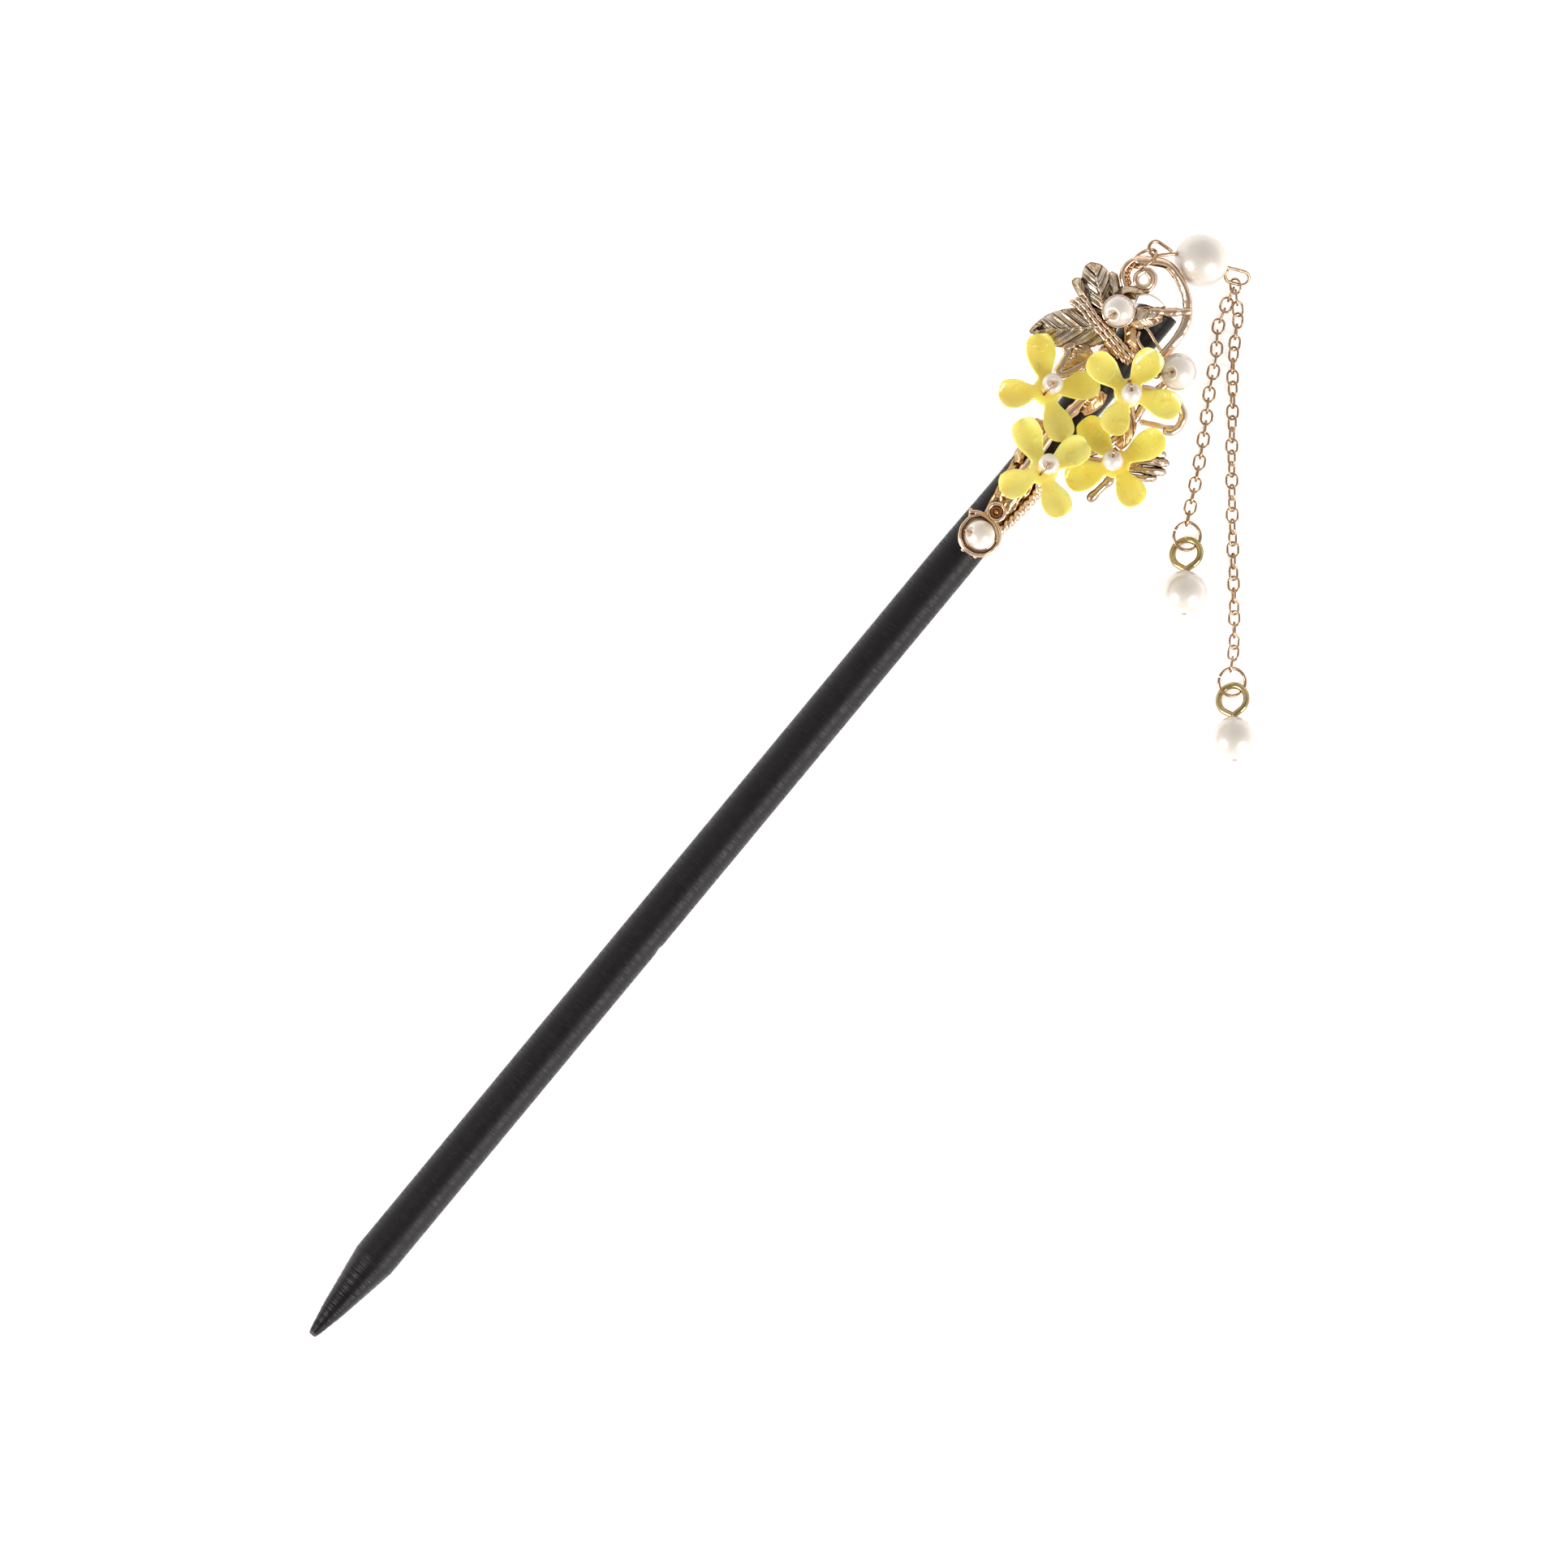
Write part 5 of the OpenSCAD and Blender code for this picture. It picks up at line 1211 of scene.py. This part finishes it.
def over_wire(d, tilt, leg):
    """Path in the wire's own plane: up the tilted hole, round a small bend, over the pearl and down."""
    big, bend = d / 2 + wire_gap + wire_d / 2, 0.35
    rise = np.sqrt(big * big - 2 * bend * big)
    start = np.arctan2(bend, rise)
    b = np.linspace(np.pi, np.pi / 2 - start, 12)
    small = [bend, rise] + on_circle(bend, b)
    stem = np.stack([np.zeros(8), np.linspace(-0.3 * d, rise, 9)[:-1]], 1)
    bent = np.concatenate([stem, small])
    t = np.radians(tilt)
    bent = np.stack([bent[:, 0] * np.cos(t) + bent[:, 1] * np.sin(t),
                     -bent[:, 0] * np.sin(t) + bent[:, 1] * np.cos(t)], 1)
    over = np.linspace(t + start, np.pi / 2, 24)[1:]
    arc = big * np.stack([np.sin(over), np.cos(over)], 1)
    down = np.stack([np.full(6, big), -np.linspace(0, leg, 7)[1:]], 1)
    flat = np.concatenate([bent, arc, down])
    return np.stack([flat[:, 0], 0 * flat[:, 0], flat[:, 1]], 1)


print("the wire over a bead is %.1f mm long" % running(over_wire(2.8, 40, 2.0))[-1])

# %% [markdown]
# The beads in the flowers and the pearls in the cups are made alike: the pearl is tilted so that
# its hole takes the wire, and the wire's plane is turned to its bearing.

# %% Beads and cup pearls
def strung(names, solids, d, around, lip, mouth, toward, tilt, leg, at):
    """A drilled pearl with a tilted hole, and its wire. Names and solids are pearl first, then wire."""
    pearl = placed(drilled(d, wire_d + 0.1, around, lip, mouth), toward @ turn("Y", tilt), at)
    piece(names[0], [pearl], pearl_lustre, [solids[0]])
    wire = tube(over_wire(d, tilt, leg), wire_d / 2, sides=14, normal=(0, 1, 0), ends=4)
    piece(names[1], [placed(wire, toward, at)], rose_gilt, [solids[1]])


bead_d, bead_lip, bead_mouth = 2.8, 0.26, 0.95
bead_h = hub_t / 2 + seat_gap + bead_d / 2
for i, flower in flowers.items():
    rotation, at = flower_frame(flower)
    bearing, tilt = flower["wire"]
    bead_at = at + rotation @ np.array([*flower["bead"], bead_h])
    strung(("bead_%d" % i, "bead_wire_%d" % i), ("flower_bead_%d" % i, "flower_wire_%d" % i), bead_d,
           80, bead_lip, bead_mouth, rotation @ turn("Z", bearing), tilt, bead_h, bead_at)

cup_lip, cup_mouth = 0.34, 1.1
for name, cup in cups.items():
    leg = cup["reach"] * (cup["d"] / 2 + seat_gap + cup_wall) / 2 - 0.12
    strung(("cup_pearl_" + name, "cup_wire_" + name), ("pearl_" + name, "pearl_wire_" + name), cup["d"],
           112, cup_lip, cup_mouth, turn("Z", cup["bearing"]), cup["tilt"], leg, cup_middle[name])

# %% [markdown]
# ## The tassel
# The big pearl turns on a pin with an eye at each end. It lies on the table, and its hole points
# along the pin.

# %% Big pearl
tassel_x, floor_z, big_d, pin_d = vine_len + 3.35, -2.9, 7.2, 0.45
pin_bearing, pin_tilt = 115.8, -17
big_at = np.array([tassel_x, 0, floor_z + big_d / 2])
pin_turn = turn("Z", pin_bearing) @ turn("Y", pin_tilt)
piece("tassel_pearl", [placed(drilled(big_d, pin_d + 0.4, 160), pin_turn @ turn("Y", 90), big_at)],
      pearl_lustre, ["big_pearl"])

# %% [markdown]
# The pin is one wire: its path is an arc, a straight, an arc, the shaft, and the arc of the other
# eye. Each eye is drawn flat, then rolled about the pin, and it begins a little off the pearl.

# %% Pin with two eyes
neck = big_d / 2 + seat_gap + 0.1
side_r, side_lead, side_straight, side_roll = 0.93, 0.98, 1.45, 13
side_turn = np.pi - np.arccos(1 - 1.15 * pin_d / side_r)
upper_r, upper_reach, upper_roll = 0.96, 2.8, 3


def tipped(x, y, degrees, sign):
    """Flat points of an eye put into the pin's frame, rolled about the pin."""
    roll = np.radians(degrees)
    return np.stack([sign * (neck + x), y * np.cos(roll), sign * y * np.sin(roll)], 1)


def side_arc(lead, b):
    """Part of the side eye: points at the angles b round a middle that lies at a lead from the neck."""
    return tipped(lead + side_r * np.cos(b), side_r + side_r * np.sin(b), side_roll, -1)


inner_bend = side_arc(side_lead, np.pi / 2 + side_turn * np.linspace(1, 0, 24))
outer_bend = side_arc(side_lead + side_straight, np.pi / 2 - np.pi * np.linspace(0, 1, 32))
shaft = np.stack([np.linspace(-neck, neck, 12), np.zeros(12), np.zeros(12)], 1)
open_a = np.arccos(upper_r / upper_reach)
b = (np.pi - open_a) * np.linspace(1, -1, 48)
upper_arc = tipped(upper_reach + upper_r * np.cos(b), upper_r * np.sin(b), upper_roll, 1)
short = 1.02 * pin_d / np.sin(2 * (np.pi / 2 - open_a))
upper_end = tipped(np.array([short * np.sin(open_a)]), np.array([-short * np.cos(open_a)]),
                   upper_roll, 1)
pin_path = np.concatenate([inner_bend, outer_bend, shaft, upper_arc, upper_end])
bent_pin = tube(pin_path, pin_d / 2 * 0.98, normal=(0, 0.2, 1))
piece("bent_pin", [placed(bent_pin, pin_turn, big_at)], rose_gilt, ["eye_pin"])

# %% [markdown]
# Each drop is a pearl on a brass wire with an eye that was bent by hand: it leaves the pearl, goes
# once round, and its end comes back beside its start. A thinner stem goes into the pearl. Both
# drops are the same shape, turned to their own bearings.

# %% Drops
drop_d, drop_tilt, loop_wire, loop_r = 6.1, 18, 0.7, 1.85
eye_wire, eye_reach, eye_roll, eye_neck = 0.84, 2.25, -17, drop_d / 2 + 0.26
drops = {"long": ((tassel_x - 46.08, -43.78), 41), "short": ((tassel_x - 35.32, -26.44), 37)}
eye_r = loop_r + (eye_wire - loop_wire) / 2
eye_open = np.arccos(eye_r / eye_reach)
b = (np.pi - eye_open) * np.linspace(1, -1, 60)
eye_round = np.column_stack([[eye_reach, 0] + on_circle(eye_r, b), 0.05 * np.linspace(-1, 1, 60)])
neck_legs = np.linspace(0.12, 0.9, 8)[:, None]
eye_path = np.concatenate([eye_round[0] * neck_legs, eye_round, eye_round[-1] * neck_legs[::-1]])
eye_path = eye_path @ turn("X", eye_roll).T + [eye_neck, 0, 0]
eye_stem = np.stack([np.linspace(1.2, eye_neck + 0.1, 6), np.zeros(6), np.zeros(6)], 1)

for name, (at, bearing) in drops.items():
    drop_at = np.array([*at, floor_z + drop_d / 2])
    drop_turn = turn("Z", bearing) @ turn("Y", drop_tilt)
    drop_pearl = placed(drilled(drop_d, loop_wire + 0.2, 144), drop_turn @ turn("Y", 90), drop_at)
    piece("drop_" + name, [drop_pearl], pearl_lustre, ["drop_pearl_" + name])
    brass = [placed(tube(path, wire / 2, sides=20), drop_turn, drop_at)
             for path, wire in ((eye_path, eye_wire), (eye_stem, loop_wire))]
    piece("brass_eye_" + name, brass, olive_brass, ["eye_loop_" + name])

# %% [markdown]
# The jump rings and the two cable chains are exact in the frame, so they keep their own meshes and
# only take the wire's finish.

# %% Rings and chains
for name in ("jump_ring_top", "jump_ring_long", "jump_ring_short", "chain_long", "chain_short"):
    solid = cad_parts[name]
    solid.data.materials.clear()
    solid.data.materials.append(rose_gilt)
    print("%-22s %6d faces, as in the frame" % (name, len(solid.data.polygons)))

# %% [markdown]
# A white table under it all. It goes far past the picture and takes the soft shadows.

# %% Floor
floor_finish, tree, shader = new_finish("white_table", (0.92, 0.92, 0.92), 0.0, 0.6)
shader.inputs["Emission Color"].default_value = (1, 1, 1, 1)
shader.inputs["Emission Strength"].default_value = 0.52
floor_mesh = bpy.data.meshes.new("white_table")
table_reach, table_z = 3.0, floor_z * MM
floor_mesh.from_pydata([(-table_reach, -table_reach, table_z), (table_reach, -table_reach, table_z),
                        (table_reach, table_reach, table_z), (-table_reach, table_reach, table_z)],
                       [], [(0, 1, 2, 3)])
floor_mesh.materials.append(floor_finish)
white_table = bpy.data.objects.new("white_table", floor_mesh)
bpy.context.scene.collection.objects.link(white_table)
print("table at", floor_z, "mm, where the stick and the tassel lie")
